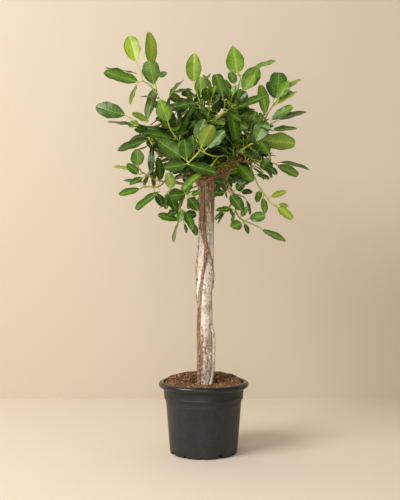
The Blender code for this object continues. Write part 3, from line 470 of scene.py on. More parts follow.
# Limbs that fork from the trunk's top: across, depth, height and radius in centimetres
LIMBS = {
    "right": ((1.5, 0, 93, 1.8), (5, 0, 98.2, 1.35), (8.5, -.5, 101.4, 1.15), (12, -1, 103.6, .9),
              (16.5, -1, 103.2, .6), (20, 0, 103.6, .45), (23.5, 1, 104.4, .3)),
    "left": ((0.2, 0, 93, 1.6), (-3.5, 0, 98.5, 1.1), (-7.5, .5, 102, .85), (-12, 1, 104.5, .65),
             (-17, 1.5, 107, .5), (-20, 2, 110, .3)),
    "leader": ((0.8, 1, 93, 1.9), (0.5, 2, 101, 1.2), (0, 2.5, 108, .9), (1, 2.5, 115, .7),
               (0, 3, 122, .5), (0.5, 3, 127, .3)),
    "upper_right": ((0.5, 2.5, 107, .7), (3, 1, 113, .6), (6, 0, 118.6, .5), (10, 0, 123, .4),
                    (13, 0, 127.2, .3)),
    "upper_left": ((0, 2.5, 104, .8), (-4, 2, 110, .6), (-9, 2, 117, .5), (-14, 2, 123, .4),
                   (-17, 2, 128.5, .3)),
    "far_right": ((8, -.5, 101, .8), (13, 1, 107.5, .55), (18, 2, 113.5, .42), (22, 2, 118, .3)),
    "far_left": ((-7, .5, 101.5, .9), (-14, 3, 107, .6), (-19.5, 3, 112.5, .42), (-21.5, 3, 116, .3)),
    "low_left": ((-2.5, 0, 97.5, 1.0), (-8, -3.5, 97.5, .7), (-14, -4, 95.6, .45), (-18, -4, 96.5, .3)),
    "low_front": ((-5, -2, 97.6, .7), (-7.5, -6, 93.5, .45), (-8.5, -8, 89, .3)),
    "low_right": ((3.5, -.5, 97, .9), (8, -4.5, 95.5, .6), (10.5, -7, 91, .45), (11.6, -8, 86.5, .3)),
    "droop_right": ((11, -1, 103, .7), (15, -2.8, 103, .5), (17, -3.5, 101, .3)),
    "front": ((1, -1, 95, 1.2), (0, -7, 100.5, .9), (-1, -13, 105.5, .6), (0, -17, 110.5, .35)),
    "front_right": ((.4, -6, 99.6, .8), (4, -11, 103, .6), (8, -15, 108, .35)),
    "back": ((1, 1, 95, 1.3), (1, 8, 102, 1.0), (0, 15, 108, .7), (-1, 21, 115, .4)),
    "back_left": ((.8, 7, 101, .8), (-7, 13, 105, .6), (-14, 18, 110, .35)),
    "back_right": ((1, 7, 101, .8), (8, 13, 106, .6), (15, 18, 112, .35)),
    "back_low": ((1, 2, 95, .9), (-1, 10, 96.5, .5), (-2, 17, 95, .3)),
}
NOT_DRAWN = ("front", "front_right")
SLIM_FROM = 0.985            # height above which the thin limbs are drawn slimmer than the solids
SLIM_LIMBS = (0.006, 0.010)  # radius of the slimmed limbs, and radius from which they keep their girth
SLIMMEST = 0.62              # share of their girth that the thinnest keep


def rows_along(rows, steps):
    """Rows in even steps between each two of a line's rows."""
    return [[a + (b - a) * step / steps for a, b in zip(start, end)]
            for start, end in zip(rows, rows[1:]) for step in range(steps)]


def limb_line():
    """Places all along the limbs that are drawn, with the limb's radius at each."""
    drawn = [rows for name, rows in LIMBS.items() if name not in NOT_DRAWN]
    return [(Vector(row[:3]) * CM, row[3] * CM)
            for rows in drawn for row in rows_along(rows, LIMB_STEPS)]


def search_tree(spots):
    """A search tree of places, which finds the nearest one and its number."""
    tree = kdtree.KDTree(len(spots))
    for index, spot in enumerate(spots):
        tree.insert(spot, index)
    tree.balance()
    return tree


def smooth_step(value, low, high):
    """0 below low, 1 above high, and an even curve between them."""
    share = min(max((value - low) / (high - low), 0.0), 1.0)
    return share * share * (3 - 2 * share)


def root_lines():
    """Places along the aerial roots, with the radius and redness at each."""
    places = []
    for rows, red in zip(ROOTS, ROOT_REDNESS):
        for row in rows_along(rows, ROOT_STEPS):
            spot = Vector(row[:3]) * CM
            if rows is ROOTS[0]:
                spot.x += bend_of(spot.z)
            places.append((spot, row[3] * CM, red))
    return places


def bark_relief(spot, on_root):
    """How far the bark stands out of its smooth form, with its fibres, corky swellings and healed knots, and
    how deep a crack lies there: the bark's colour darkens with it as painted shade."""
    x, y, z = spot
    fibre = noise.noise(Vector((x * 210, y * 210, z * 14)))
    fine = noise.noise(Vector((x * 520, y * 520, z * 60 + 7)))
    swelling = noise.noise(Vector((x * 30, y * 30, z * 22 + 3)))
    cork = noise.noise(Vector((x * 90, y * 90, z * 70 + 11)))
    knot = max(0.0, noise.noise(Vector((x * 45, y * 45, z * 38 + 21))) - 0.42) * 0.008
    height = smooth_step(z, 0.92, 1.00)
    crack = max(0.0, -fibre - 0.22) * 1.8 + max(0.0, -fine - 0.30) * 0.8
    relief = (fibre * 0.0010 + fine * 0.0004 + swelling * 0.0016 + cork * 0.0007 + knot) * (1 - 0.6 * height)
    return relief * (1 - 0.5 * on_root), crack


def stem_middles(mesh):
    """The stem's middle in every centimetre of its height."""
    places = np.empty(len(mesh.vertices) * 3, np.float32)
    mesh.vertices.foreach_get("co", places)
    places = places.reshape(-1, 3)
    levels = np.round(places[:, 2] / CM).astype(int)
    return {level: Vector(places[levels == level, :2].mean(axis=0)) for level in set(levels.tolist())}


# Two limbs of the solids that the dressed plant leaves out, as its front shoots hang from thin green stems
LEFT_OUT = (
    ((0.7, -3.2, 97.2), (0, -7, 100.5), (-1, -13, 105.5), (0, -18, 112)),
    ((0.4, -5.5, 99.3), (4, -11, 103), (8.5, -15.6, 108.8)),
)
LEFT_OUT_RADIUS = 0.017


def with_rod(bark, rows, radii, operation):
    """Joins a rod along some rows to the bark, or takes what lies in it off the bark."""
    rod = mesh_piece("rod", *sweep([Vector(row[:3]) * CM for row in rows], radii, sides=16))
    modify(bark, "BOOLEAN", operation=operation, solver="EXACT", use_self=True, object=rod)
    applied(bark)
    bpy.data.objects.remove(rod)


# The seam where the prop root has grown against the stem, as the roots' rows
PROP_PLACES = ROOT_STEPS * (len(ROOTS[0]) - 1)
SEAM = ((1.6, -0.2, 50, 0.5), (2.0, -0.3, 43, 0.75), (2.05, -0.4, 35, 0.92), (1.95, -0.4, 29, 0.88),
        (1.6, -0.3, 24, 0.9), (1.3, -0.3, 15, 1.0))
# How far the prop root's foot bends in under the stem: height and sideways move in centimetres
PROP_BEND = ((15, -1.0), (20, -1.0), (24.3, -0.8), (26.5, -0.45), (30, -0.25), (36, -0.2), (42, 0.0))
SEAM_TOP = 0.43
ROOT_RISE = 0.0006           # how far an aerial root stands out, and how deep the groove along it is
GROOVE_DEPTH = 0.0012


def bend_of(height):
    """The prop root's sideways move at a height, in metres."""
    return float(np.interp(height / CM, *zip(*PROP_BEND))) * CM


def bend_prop_root(solid):
    """Bends the prop root's foot in under the stem."""
    tree = search_tree([Vector(row[:3]) * CM for row in rows_along(ROOTS[0], ROOT_STEPS)])
    for corner in solid.verts:
        if corner.co.z < PROP_BEND[-1][0] * CM:
            _, _, away = tree.find(corner.co)
            corner.co.x += bend_of(corner.co.z) * (1 - smooth_step(away, 0.0080, 0.0105))


def plain_trunk():
    """The frame's trunk as one rounded body in fine even facets, its prop root grown against the stem."""
    bark = mesh_piece("banyan_trunk", [], [])
    solid = bmesh.new()
    solid.from_mesh(bpy.data.objects["trunk"].data)
    bmesh.ops.remove_doubles(solid, verts=solid.verts, dist=0.00001)
    bend_prop_root(solid)
    solid.to_mesh(bark.data)
    solid.free()
    with_rod(bark, SEAM, [row[3] * CM for row in SEAM], "UNION")
    for rows in LEFT_OUT:
        with_rod(bark, rows, [LEFT_OUT_RADIUS] * len(rows), "DIFFERENCE")
    modify(bark, "REMESH", mode="VOXEL", voxel_size=BARK_GRAIN, use_smooth_shade=True)
    modify(bark, "SMOOTH", factor=0.5, iterations=3)
    return applied(bark)


def groove_at(spot, nearest, radius, away, on_prop):
    """How deep the groove beside an aerial root is, from 0 to 1. The prop root's foot has a deeper seam, only
    on the side where it leans against the stem."""
    if on_prop and spot.z < SEAM_TOP:
        seam = smooth_step((nearest.x - spot.x) / radius, 0.55, 0.80)
        return seam * max(0.0, 1.5 - abs(away - radius * 1.08) / (radius * 0.40))
    return max(0.0, 1 - abs(away - radius * 1.45) / (radius * 0.40))


def stain_at(spot, centre, on_root, red):
    """How rusty the bark is, from 0 to 1: down its left side, on its red roots, up in the crown, and round a
    weathered place low on the stem."""
    left_side = smooth_step(centre.x - spot.x - 0.008 * smooth_step(spot.z, 0.30, 0.44), -0.001, 0.010)
    left_side *= 1 - smooth_step(spot.z, 0.48, 0.56)
    weathered = smooth_step(spot.z, 0.26, 0.31) * (1 - smooth_step(spot.z, 0.36, 0.42)) * (1 - on_root)
    return max(left_side, smooth_step(spot.z, 0.72, 0.90) * 0.6, on_root * red * 0.5, weathered * 0.50)


def give_bark(trunk):
    """Gives the trunk its bark's relief, and marks its red roots, the painted shade of its cracks and
    grooves, and its stains.
    """
    places = root_lines()
    tree = search_tree([spot for spot, _, _ in places])
    limb_places = limb_line()
    limb_tree = search_tree([spot for spot, _ in limb_places])
    mesh = trunk.data
    middles = stem_middles(mesh)
    moved, reds, crease_shades, stains = [], [], [], []
    for corner in mesh.vertices:
        spot, facing = corner.co.copy(), corner.normal.copy()
        _, index, away = tree.find(spot)
        nearest, radius, red = places[index]
        on_root = 1 - smooth_step(away, radius * 1.10, radius * 1.45)
        groove = groove_at(spot, nearest, radius, away, index < PROP_PLACES)
        centre = middles[round(spot.z / CM)]
        crest = ((spot.xy - centre).length - (nearest.xy - centre).length) / radius
        relief, crack = bark_relief(spot, on_root)
        out = relief + on_root * ROOT_RISE - groove * GROOVE_DEPTH
        middle, thick = limb_places[limb_tree.find(spot)[1]]
        if spot.z > SLIM_FROM and thick < SLIM_LIMBS[1]:
            spot = middle.lerp(spot, SLIMMEST + (1 - SLIMMEST) * smooth_step(thick, *SLIM_LIMBS))
        moved.append(spot + facing * out)
        reds.append(on_root * red * smooth_step(crest, -0.1, 0.5))
        # Painted shade: the bark's colour is darkened along its cracks and in the grooves beside the aerial
        # roots.
        crease_shades.append(min(1.0, crack + groove * 0.9))
        stains.append(stain_at(spot, centre, on_root, red))
    mesh.vertices.foreach_set("co", np.array(moved, np.float32).ravel())
    set_marks(mesh, {"red_root": reds, "crease_shade": crease_shades, "stain": stains})
    mesh.shade_smooth()
    mesh.update()


def fig_bark():
    """Banyan bark: matt cork, cream with rust-brown specks that crowd on one side and near the roots,
    grey-brown and streaked higher up, darkened with painted shade in its cracks and in the grooves beside its
    roots. The skin of its aerial roots is a redder brown. Its pores are finer, and drawn as coarse as they
    need to show."""
    bark = new_material("fig_bark")
    place = add(bark, "TexCoord").outputs["Object"]
    height = add(bark, "SeparateXYZ", {"Vector": place}).outputs["Z"]
    red_root, crease_shade, stain = [add(bark, "Attribute", attribute_name=mark).outputs["Fac"]
                               for mark in ("red_root", "crease_shade", "stain")]
    long_grain = add(bark, "Mapping", {"Vector": place, "Scale": (every(8.33), every(8.33), every(111))})
    streak = add(bark, "TexNoise", {"Vector": long_grain, "Scale": 1.0, "Detail": 6.0, "Roughness": 0.65})
    blotch = add(bark, "TexNoise", {"Vector": place, "Scale": every(38.5), "Detail": 5.0, "Roughness": 0.62})
    cream = add(bark, "MapRange", (blotch, 0.34, 0.60))
    pale = add(bark, "Mix", (cream, "#c9b9a2", "#f0e9de"), data_type="RGBA")
    fibrous = add(bark, "MapRange", (streak, 0.38, 0.55, 0.40, 0.0))
    pale_streaked = add(bark, "Mix", (fibrous, pale, "#a98b6b"), data_type="RGBA")
    high_tone = add(bark, "MapRange", (streak, 0.38, 0.62))
    brown = add(bark, "Mix", (high_tone, "#6a513c", "#d2bfa6"), data_type="RGBA")
    ragged = add(bark, "Math", (blotch, 0.10), operation="MULTIPLY")
    level = add(bark, "Math", (height, ragged), operation="ADD")
    high = add(bark, "MapRange", (level, STREAKS_FROM + 0.05, STREAKS_FULL + 0.05))
    by_height = add(bark, "Mix", (high, pale_streaked, brown), data_type="RGBA")
    flecks = add(bark, "Mapping", {"Vector": place, "Scale": (every(5.88), every(5.88), every(9.09))})
    speck = add(bark, "TexNoise", {"Vector": flecks, "Scale": 1.0, "Detail": 3.0})
    crowding = add(bark, "Math", (stain, 0.21, speck), operation="MULTIPLY_ADD")
    specked = add(bark, "MapRange", (crowding, 0.54, 0.68, 0.0, 0.88))
    flaky = add(bark, "MapRange", (streak, 0.36, 0.64))
    stained = add(bark, "Mix", (flaky, "#5f4026", "#a98058"), data_type="RGBA")
    rusty = add(bark, "Mix", (specked, by_height, stained), data_type="RGBA")
    rust = add(bark, "Mix", (streak, "#563925", "#a27c5b"), data_type="RGBA")
    worn = add(bark, "MapRange", (speck, 0.36, 0.50, 0.62))
    root_share = add(bark, "Math", (red_root, worn), operation="MULTIPLY")
    rooted = add(bark, "Mix", (root_share, rusty, rust), data_type="RGBA")
    pores = add(bark, "TexVoronoi", {"Vector": place, "Scale": every(6.67)})
    pore = add(bark, "MapRange", (pores, 0.16, 0.28, 0.8, 0.0))
    some = add(bark, "MapRange", (blotch, 0.50, 0.62))
    pored = add(bark, "Math", (pore, some), operation="MULTIPLY")
    speckled = add(bark, "Mix", (pored, rooted, "#5f4936"), data_type="RGBA")
    # Painted shade darkens the bark in its cracks and grooves.
    deep = add(bark, "MapRange", (crease_shade, 0.15, 0.75, 0.0, 0.78))
    colour = add(bark, "Mix", (deep, speckled, "#4f3927"), data_type="RGBA")
    grain = add(bark, "TexNoise", {"Vector": long_grain, "Scale": 3.2, "Detail": 6.0})
    bump = add(bark, "Bump", {"Height": grain, "Strength": 0.55, "Distance": 0.0010})
    shader = add(bark, "BsdfPrincipled", {"Base Color": colour, "Roughness": 0.82, "Normal": bump})
    return finish_with(bark, shader)


bark = plain_trunk()
give_bark(bark)
bark.data.materials.append(fig_bark())
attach(bark, "root")
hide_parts("trunk")


# ---- Root mat -------------------------------------------------------------------------------------------
# Fine aerial roots wrap the foot of the right limb in a red-brown mat. They are dry and fibrous, and a few
# stray ends hang loose from it.

# The mat's middle line: across, depth, height and radius in centimetres
MAT_LINE = ((-4.6, -1, 98.2, .6), (-2, -1.8, 97.2, .9), (.8, -2.3, 96.7, 1.5), (3.6, -2.4, 97.6, 1.9),
            (6, -2.4, 99.3, 2.3), (8.8, -2.4, 101.6, 2.3), (11.2, -2.2, 103.1, 1.6), (13.5, -1.8, 104.3, .7))
MAT_FIBRES = 260
MAT_STEPS = 12               # steps that a fine root is drawn in
CORE_SIDES = 24


def along_line(rows, share):
    """A place on a line of rows, with its radius, at a share of the way along it."""
    reach = min(max(share, 0.0), 0.9999) * (len(rows) - 1)
    knot = int(reach)
    row = [a + (b - a) * (reach - knot) for a, b in zip(rows[knot], rows[knot + 1])]
    return Vector(row[:3]) * CM, row[3] * CM


def mat_fibre(dice):
    """One fine root: it runs along the mat at its own depth and bearing, and wanders."""
    start = dice.uniform(-0.10, 0.75)
    length = dice.uniform(0.22, 0.60)
    bearing = dice.uniform(0, math.tau)
    turn = dice.gauss(0, 1.4)
    depth = dice.uniform(0.78, 1.08)
    back = Vector((0, 1, 0))
    points = []
    for step in range(MAT_STEPS + 1):
        share = start + length * step / MAT_STEPS
        middle, radius = along_line(MAT_LINE, share)
        along = along_line(MAT_LINE, share + 0.05)[0] - middle
        along = along.normalized() if along.length > 0 else Vector((1, 0, 0.4)).normalized()
        over = back.cross(along).normalized()
        angle = bearing + turn * step / MAT_STEPS
        out = back * math.cos(angle) + over * math.sin(angle)
        wander = [noise.noise(Vector((bearing * 9 + axis * 5, step * 0.35, start * 7))) for axis in range(3)]
        points.append(middle + out * radius * depth + Vector(wander) * 0.005)
    thick = dice.uniform(0.0005, 0.0011)
    radii = [thick * (0.45 + 0.55 * math.sin(math.pi * (step + 1) / (MAT_STEPS + 2)))
             for step in range(MAT_STEPS + 1)]
    return *sweep(points, radii, sides=5), dice.random()


def mat_core():
    """The matted roots inside, as one lumpy body that the fine ones lie on."""
    rows = [along_line(MAT_LINE, step / 30) for step in range(31)]
    points = [middle for middle, _ in rows]
    corners, faces = sweep(points, [radius * 0.90 for _, radius in rows], sides=CORE_SIDES)
    rough = []
    for index, corner in enumerate(corners):
        middle = points[index // CORE_SIDES]
        fluted = noise.noise(corner * 160) * 0.10 + noise.noise(corner * 420) * 0.05
        rough.append(middle + (corner - middle) * (1 + fluted))
    return rough, faces, 0.1


def dry_rootlets():
    """Dry rootlets: matt, fox-brown, paler where they are frayed."""
    roots = new_material("dry_rootlets")
    place = add(roots, "TexCoord").outputs["Object"]
    mark = add(roots, "Attribute", attribute_name="tone").outputs["Fac"]
    patch = add(roots, "TexNoise", {"Vector": place, "Scale": every(8.33), "Detail": 5.0})
    share = add(roots, "Math", (mark, patch), operation="ADD")
    level = add(roots, "MapRange", (share, 0.4, 1.5))
    colour = add(roots, "ValToRGB", (level,), stops=((0.0, "#5e3b24"), (0.55, "#b07a54"), (1.0, "#dcae80")))
    shader = add(roots, "BsdfPrincipled", {"Base Color": colour, "Roughness": 0.85})
    return finish_with(roots, shader)


dice = random.Random(23)
mat = joined_parts("root_mat", [mat_core()] + [mat_fibre(dice) for _ in range(MAT_FIBRES)])
mat.data.materials.append(dry_rootlets())
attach(mat, "root")


# ---- Leafy shoots ---------------------------------------------------------------------------------------
# Young wood with leathery oval leaves on short petioles and a pointed bud at its tip. Each shoot stands where
# the frame has it: its stem and leaves are laid out again from the same places, and drawn as a live plant's.

# Shoots that are set out one by one. A place is (across, up, depth) in centimetres as drawn on the elevation
# seen from EYE. A shoot has its stem's places from the limb outwards, then its leaves: where the blade starts
# and ends, its width, the share of its face that shows, its tone from 0, old and dark, to 1, young and
# bright, which is partly its age and partly painted light and shade for where it hangs, and for some where
# the blade is widest and how pointed it is. A share below 0 shows the leaf's back.
EYE = Vector((-0.013, -2.6, 0.664))
SHOOTS = {
    "shoot_top_left": (
        ((-17.6, 129, 2), (-19.5, 131, 1), (-22, 132.6, 0), (-22.2, 134.6, 0)),
        ((-24.3, 139.3, -1), (-26.6, 148.4, 2), 6, .96, 1, 1.05, -.2),
        ((-23.5, 132, 0), (-35.3, 135.8, 3), 6, .7, .32),
        ((-23.7, 135, 3), (-35, 137, 6), 4, .25, .3),
        ((-23.8, 131.5, -2), (-26.3, 124, -4), 4, .35, .35),
        ((-17.9, 131, -2), (-19.5, 139.5, -4), 6.4, 1, .4, 1.25, -.3)),
    "shoot_top_left_back": (
        ((-16.5, 128, 3), (-17.3, 131, 5), (-18.5, 135, 6)),
        ((-19, 138, 6), (-19.4, 149.7, 8), 5, .9, 1, .95, -.25),
        ((-16, 134, 5), (-13.2, 135.2, 4), 2.4, .9, .4)),
    "shoot_far_left": (
        ((-21.3, 115, 3), (-22, 116, 1), (-24.5, 117.5, -1), (-26, 118.8, -1)),
        ((-28, 120, -2), (-38.4, 123.2, 0), 6, .95, .25),
        ((-20, 118, -2), (-25.6, 120.5, -5), 3.4, .7, .9),
        ((-25, 116.3, 2), (-34.3, 117.7, 5), 4, .3, .3),
        ((-20.2, 118, 3), (-17.6, 129.3, 5), 5.2, .65, .45)),
    "shoot_left_lances": (
        ((-13, 122, 2), (-13.4, 124, 0), (-12.8, 125.5, -1)),
        ((-12.3, 126.9, -1), (-7.2, 132.7, 2), 3.5, .4, .4),
        ((-11.5, 128, 3), (-4.3, 129.3, 6), 3.4, .35, .35),
        ((-15.5, 125.5, 2), (-22.5, 126.2, 5), 3.4, .15, .4)),
    "shoot_left_bright": (
        ((-5.5, 112, 0), (-8.6, 110.6, -4), (-11.6, 114.5, -6), (-12.6, 117, -7)),
        ((-12.8, 117.8, -7), (-15.7, 125.5, -8), 5.6, 1, .55, .9, .1),
        ((-10.2, 112.6, -3), (-21.9, 115.9, -4), 5, .4, .2),
        ((-10.5, 111.3, -7), (-22, 113.6, -10), 5, .5, .25),
        ((-8.6, 111.6, -5), (-4, 123, -4), 5, .6, .3)),
    "shoot_top_middle": (
        ((.2, 122, 3), (-1, 123.6, 1), (-1.7, 126, 0), (-2.8, 129, 0)),
        ((-3.6, 132, 0), (-3.5, 142, 1), 5.6, 1, .75, .85, -.1),
        ((-1.2, 127, -2), (-1, 133.8, -3), 4.3, 1, .6),
        ((3, 127.5, 4), (0, 134.4, 5), 3.5, .5, .8),
        ((-2.6, 124.5, -2), (-10.8, 123, -3), 5.5, .9, .15),
        ((-3, 126.5, 3), (-7.8, 128, 5), 3, .8, .35)),
    "shoot_top_centre": (
        ((6, 118.8, 0), (7.2, 121, -1), (7.6, 124.5, -1)),
        ((7, 126, -1), (4.5, 134.6, 0), 5, .95, .3, 1.3, -.35),
        ((9.8, 125, 3), (7.7, 132.7, 4), 4, .7, .55),
        ((10.3, 124.5, 0), (11.2, 130.5, -1), 3, .8, .7),
        ((2.8, 118.5, -1), (-1, 123.3, -3), 3, .85, .4)),
    "shoot_top_right": (
        ((12.6, 127, 0), (12.5, 130.5, 0), (13.3, 133, 0), (13, 134.2, 0)),
        ((12, 135, -1), (10.4, 145.2, 1), 6.6, 1, .62, .72, .5),
        ((11, 131.3, -2), (9.5, 135.5, -2), 3.5, .9, .35),
        ((14.2, 129, -3), (19.5, 137, -2), 6.2, .95, .55, 1, -.1),
        ((16, 135.8, 1), (25.5, 139.7, 3), 4.5, .35, .6)),
    "shoot_right_long": (
        ((9.5, 122.2, -1), (11.5, 122.6, -3), (12.6, 123.4, -4)),
        ((10.2, 122, -7), (23.3, 127.4, -8), 3.6, .72, .3, .9, 0),
        ((13, 119.6, -3), (19.3, 119.2, -5), 5, .8, .3),
        ((11.2, 118, -5), (15.6, 115.3, -7), 3.6, 1, .35)),
    "shoot_right_tall": (
        ((22, 118, 2), (23, 120.5, 0), (25, 123.6, 0)),
        ((22, 120.3, -2), (20.5, 130.8, -1), 4.6, .88, .75),
        ((26.2, 125.8, -2), (27, 135.2, -1), 6.5, 1, .32, 1.25, -.4),
        ((25.3, 126, 2), (23.2, 132, 5), 3.6, .8, .2),
        ((28.3, 128.4, 1), (34.9, 133, 3), 3.4, .5, .8),
        ((26.4, 124.2, -1), (33.4, 128.4, -3), 4, .45, .8),
        ((27, 125.8, 4), (31.6, 128.6, 7), 3.5, .8, .3)),
    "shoot_right_middle": (
        ((19.5, 115, 2), (22.5, 115.6, 1), (25, 117.2, 1)),
        ((24.4, 118.4, -1), (31.6, 123.2, -3), 4, .8, .45),
        ((27, 118.3, 1), (36.7, 121.2, 3), 4.5, .5, .3),
        ((24.9, 114.6, -1), (33.2, 115.3, 0), 4.5, .45, .35),
        ((22.1, 114.6, -2), (19.8, 107.4, -5), 4.8, .9, .4)),
    "shoot_right_pale": (
        ((11.9, 103, -1.4), (11.7, 103.6, -3.4), (12.3, 106.3, -6), (16, 109, -8), (19, 110.6, -9)),
        ((20.6, 111, -9), (32.6, 109.9, -8), 6, -.95, .5, 1, -.2),
        ((11.9, 110, -8), (9.3, 121.6, -7), 5.6, .75, .42),
        ((23.4, 105.9, -9), (20.3, 110.4, -10), 4.2, .85, .3),
        ((12.1, 102.4, -6), (17.5, 96.3, -8), 4.2, .9, .5)),
    "shoot_right_low": (
        ((20.5, 103.6, 0), (23, 103, -2), (25.3, 102.6, -2)),
        ((26.4, 102, -3), (33.6, 98.2, -5), 4.5, .7, .3),
        ((27, 103.1, 0), (37.6, 100.5, 2), 4.5, .3, .5),
        ((23.3, 101.7, -5), (26, 98.6, -7), 3, .7, .15),
        ((20.6, 100.9, -4), (24, 104.6, -6), 3.4, .9, .2),
        ((17.2, 104.4, -3), (19.5, 107.4, -4), 3, 1, .25),
        ((22.4, 101, 1), (24.4, 97.6, 2), 2.6, .5, .3)),
    "shoot_right_drooping": (
        ((17, 100.8, -4), (17.8, 98.6, -4), (18.9, 96.2, -4), (20, 94, -4),
         (22.3, 91, -4), (24, 88.5, -4), (25.6, 87.4, -4)),
        ((20, 92.8, -5), (19.4, 88.8, -7), 2.8, .9, .5),
        ((21.3, 90.3, -5), (22, 84.8, -6), 3, .8, .55),
        ((24.2, 90.6, -4), (29.4, 92.6, -4), 2.6, .8, .9),
        ((26.6, 87, -5), (31.8, 82.8, -6), 3.4, .9, .85),
        ((27, 87.8, -3), (30.2, 87.4, -2), 2, .8, 1),
        ((19, 98.8, -5), (23.4, 97, -7), 3.2, .5, .3)),
    "shoot_low_right": (
        ((8, 94.8, -6), (8.5, 93.5, -9), (9.3, 92.4, -10)),
        ((7.4, 95.6, -8), (3.7, 96.2, -10), 3, .9, .2),
        ((7.4, 92, -10), (3.6, 92.2, -12), 3, .9, .15),
        ((9.7, 91.4, -11), (13.5, 86, -13), 4.5, .9, .35),
        ((11.6, 93.2, -10), (15, 96, -12), 3.8, .9, .1)),
    "shoot_low_right_tip": (
        ((11.6, 86.8, -8), (12, 84.4, -9), (14, 82.3, -9), (17.5, 80.9, -9), (19.8, 79.8, -9)),
        ((20.8, 79, -9), (29.2, 74.9, -11), 3.8, .6, .35),
        ((16.4, 83, -10), (22, 84, -11), 3.9, .95, .45),
        ((13.4, 83.6, -11), (15.8, 87, -13), 2.4, .9, .4),
        ((13.6, 81.2, -11), (10, 79.6, -13), 4, .95, .4),
        ((14.6, 81, -8), (16, 77.4, -8), 2.4, .7, .3),
        ((10.4, 86.2, -9), (4.5, 85.8, -10), 3.5, .55, .3),
        ((11, 85, -11), (10.4, 81.6, -12), 2.2, .5, .2)),
    "shoot_low_right_side": (
        ((10.2, 91.6, -6), (12, 91.4, -7), (14.2, 90.6, -8)),
        ((13.6, 92.6, -8), (17.4, 92.2, -10), 3, .7, .15),
        ((15.2, 89.6, -9), (16.5, 84.3, -9), 3, .4, .2),
        ((13, 90, -9), (13.9, 86.9, -11), 2.4, .6, .15)),
    "shoot_left_dark": (
        ((-17.5, 107.6, 1), (-18.6, 109.6, 0), (-19.2, 111, 0)),
        ((-20, 111.3, -1), (-30.6, 107.5, -2), 5, .56, .2),
        ((-18.2, 109.8, -2), (-18.5, 97.4, -4), 2.8, .85, .05, .9, 0),
        ((-20, 112, 3), (-26.5, 110.8, 7), 4.4, .5, .2)),
    "shoot_left_twigs": (
        ((-17.6, 96.8, -4), (-19.5, 98, -5), (-22, 99.5, -5), (-23, 100.7, -5)),
        ((-23.5, 101.8, -6), (-23.8, 107.8, -7), 4.8, 1, .45),
        ((-23.2, 98.9, -7), (-27.4, 102.4, -8), 3.4, .9, .4),
        ((-24.4, 100, -3), (-32.2, 101.6, -2), 3.2, .35, .9),
        ((-21.8, 97.6, -7), (-26.4, 95, -9), 3, .7, .3),
        ((-20.4, 97.9, -4), (-17.2, 101.2, -4), 1.6, .66, .25)),
    "shoot_left_low": (
        ((-14.6, 95.4, -5), (-16.5, 94.2, -6), (-19.5, 94.3, -6), (-21.5, 94.2, -6)),
        ((-22.8, 93.5, -6), (-30.2, 91.5, -7), 4.2, .6, .35),
        ((-15.8, 92.6, -8), (-24, 86.2, -10), 4.6, .53, .2),
        ((-15.6, 96.4, -8), (-16.4, 104.6, -9), 3.9, .8, .25),
        ((-17.4, 92.2, -5), (-14.6, 87.2, -6), 3.4, .9, .15),
        ((-21.6, 95.8, -4), (-28.6, 96.6, -2), 3.4, .4, .3)),
    "shoot_left_round": (
        ((-10.6, 96.6, -4), (-11.6, 95.6, -7), (-11.8, 94, -9)),
        ((-11.6, 93.6, -11), (-12.6, 99.2, -12), 4, -.9, .5),
        ((-12.6, 91.6, -9), (-10, 86, -10), 4.2, .9, .15),
        ((-13, 92.2, -8), (-13.4, 86.4, -8), 3.2, .6, .3)),
    "shoot_front_low": (
        ((-7.3, 94, -6), (-6.6, 92, -10), (-5.6, 91.4, -12)),
        ((-6.6, 91.6, -13), (-11.8, 91, -15), 4.3, .95, .3),
        ((-5.6, 90.4, -13), (-2, 85.8, -14), 3.9, .9, .1),
        ((-4.4, 91.2, -11), (-1.4, 92.6, -11), 2, .9, .3),
        ((-5.6, 92.6, -10), (-4.8, 97.6, -12), 3.6, .8, .25)),
    "shoot_low_left_hanging": (
        ((-8.5, 89.2, -8), (-8.4, 86, -9), (-7.8, 83.8, -9), (-7, 82.4, -10)),
        ((-8.8, 82.3, -8), (-16.2, 84.1, -9), 3.4, .8, .25),
        ((-7.7, 86, -11), (-8.9, 81.5, -13), 2.8, .9, .35),
        ((-8.8, 82, -10), (-10.7, 74.5, -11), 3.2, .35, .25),
        ((-7, 81.2, -11), (-6.2, 77.8, -11), 1.6, .7, .4),
        ((-6.9, 85.6, -11), (-3.8, 79, -12), 3.2, .9, .35),
        ((-4.2, 81.4, -9), (-2.6, 76.8, -9), 2.6, .9, .3),
        ((-9, 86, -9), (-12.6, 84.2, -10), 3, .8, .1),
        ((-6.6, 84.6, -7), (-2.6, 84.2, -6), 3.2, .9, .15),
        ((-9.6, 87.6, -8), (-14, 88.6, -8), 3, .7, .15)),
    "shoot_centre_left": (
        ((-1.2, 107.3, -21), (-3.2, 105.1, -19.5), (-5.3, 103, -17.5)),
        ((-6.3, 102.4, -17), (-14, 101.2, -19), 4.3, .95, .25),
        ((-5.2, 102.2, -18), (3.9, 99.4, -18), 4.5, .85, .2),
        ((-7.4, 104.7, -16), (-16.3, 111, -17), 5.8, .95, .3),
        ((-6, 104.2, -18), (-7, 111, -19), 4.7, .95, .3)),
    "shoot_centre_right": (
        ((5.3, 105.1, -13), (2.6, 101.8, -16), (.3, 100, -17.5)),
        ((0, 99.4, -17), (-7.2, 93.2, -19), 3.8, .62, .45),
        ((-1.8, 102.5, -14), (4.3, 98.6, -15), 3.8, .85, .3),
        ((4.4, 101.4, -9), (8.7, 101.9, -10), 1.6, .8, .6),
        ((5.6, 103, -8), (8.8, 100.2, -9), 1.1, .7, .6)),
    "shoot_centre_top": (
        ((8.8, 102, -1), (8.4, 105.4, -7), (5.3, 105.1, -13), (2.3, 105.7, -18), (-1.2, 107.3, -21)),
        ((-.9, 108.4, -23), (3.1, 116.2, -27.4), 5.4, -.95, .66),
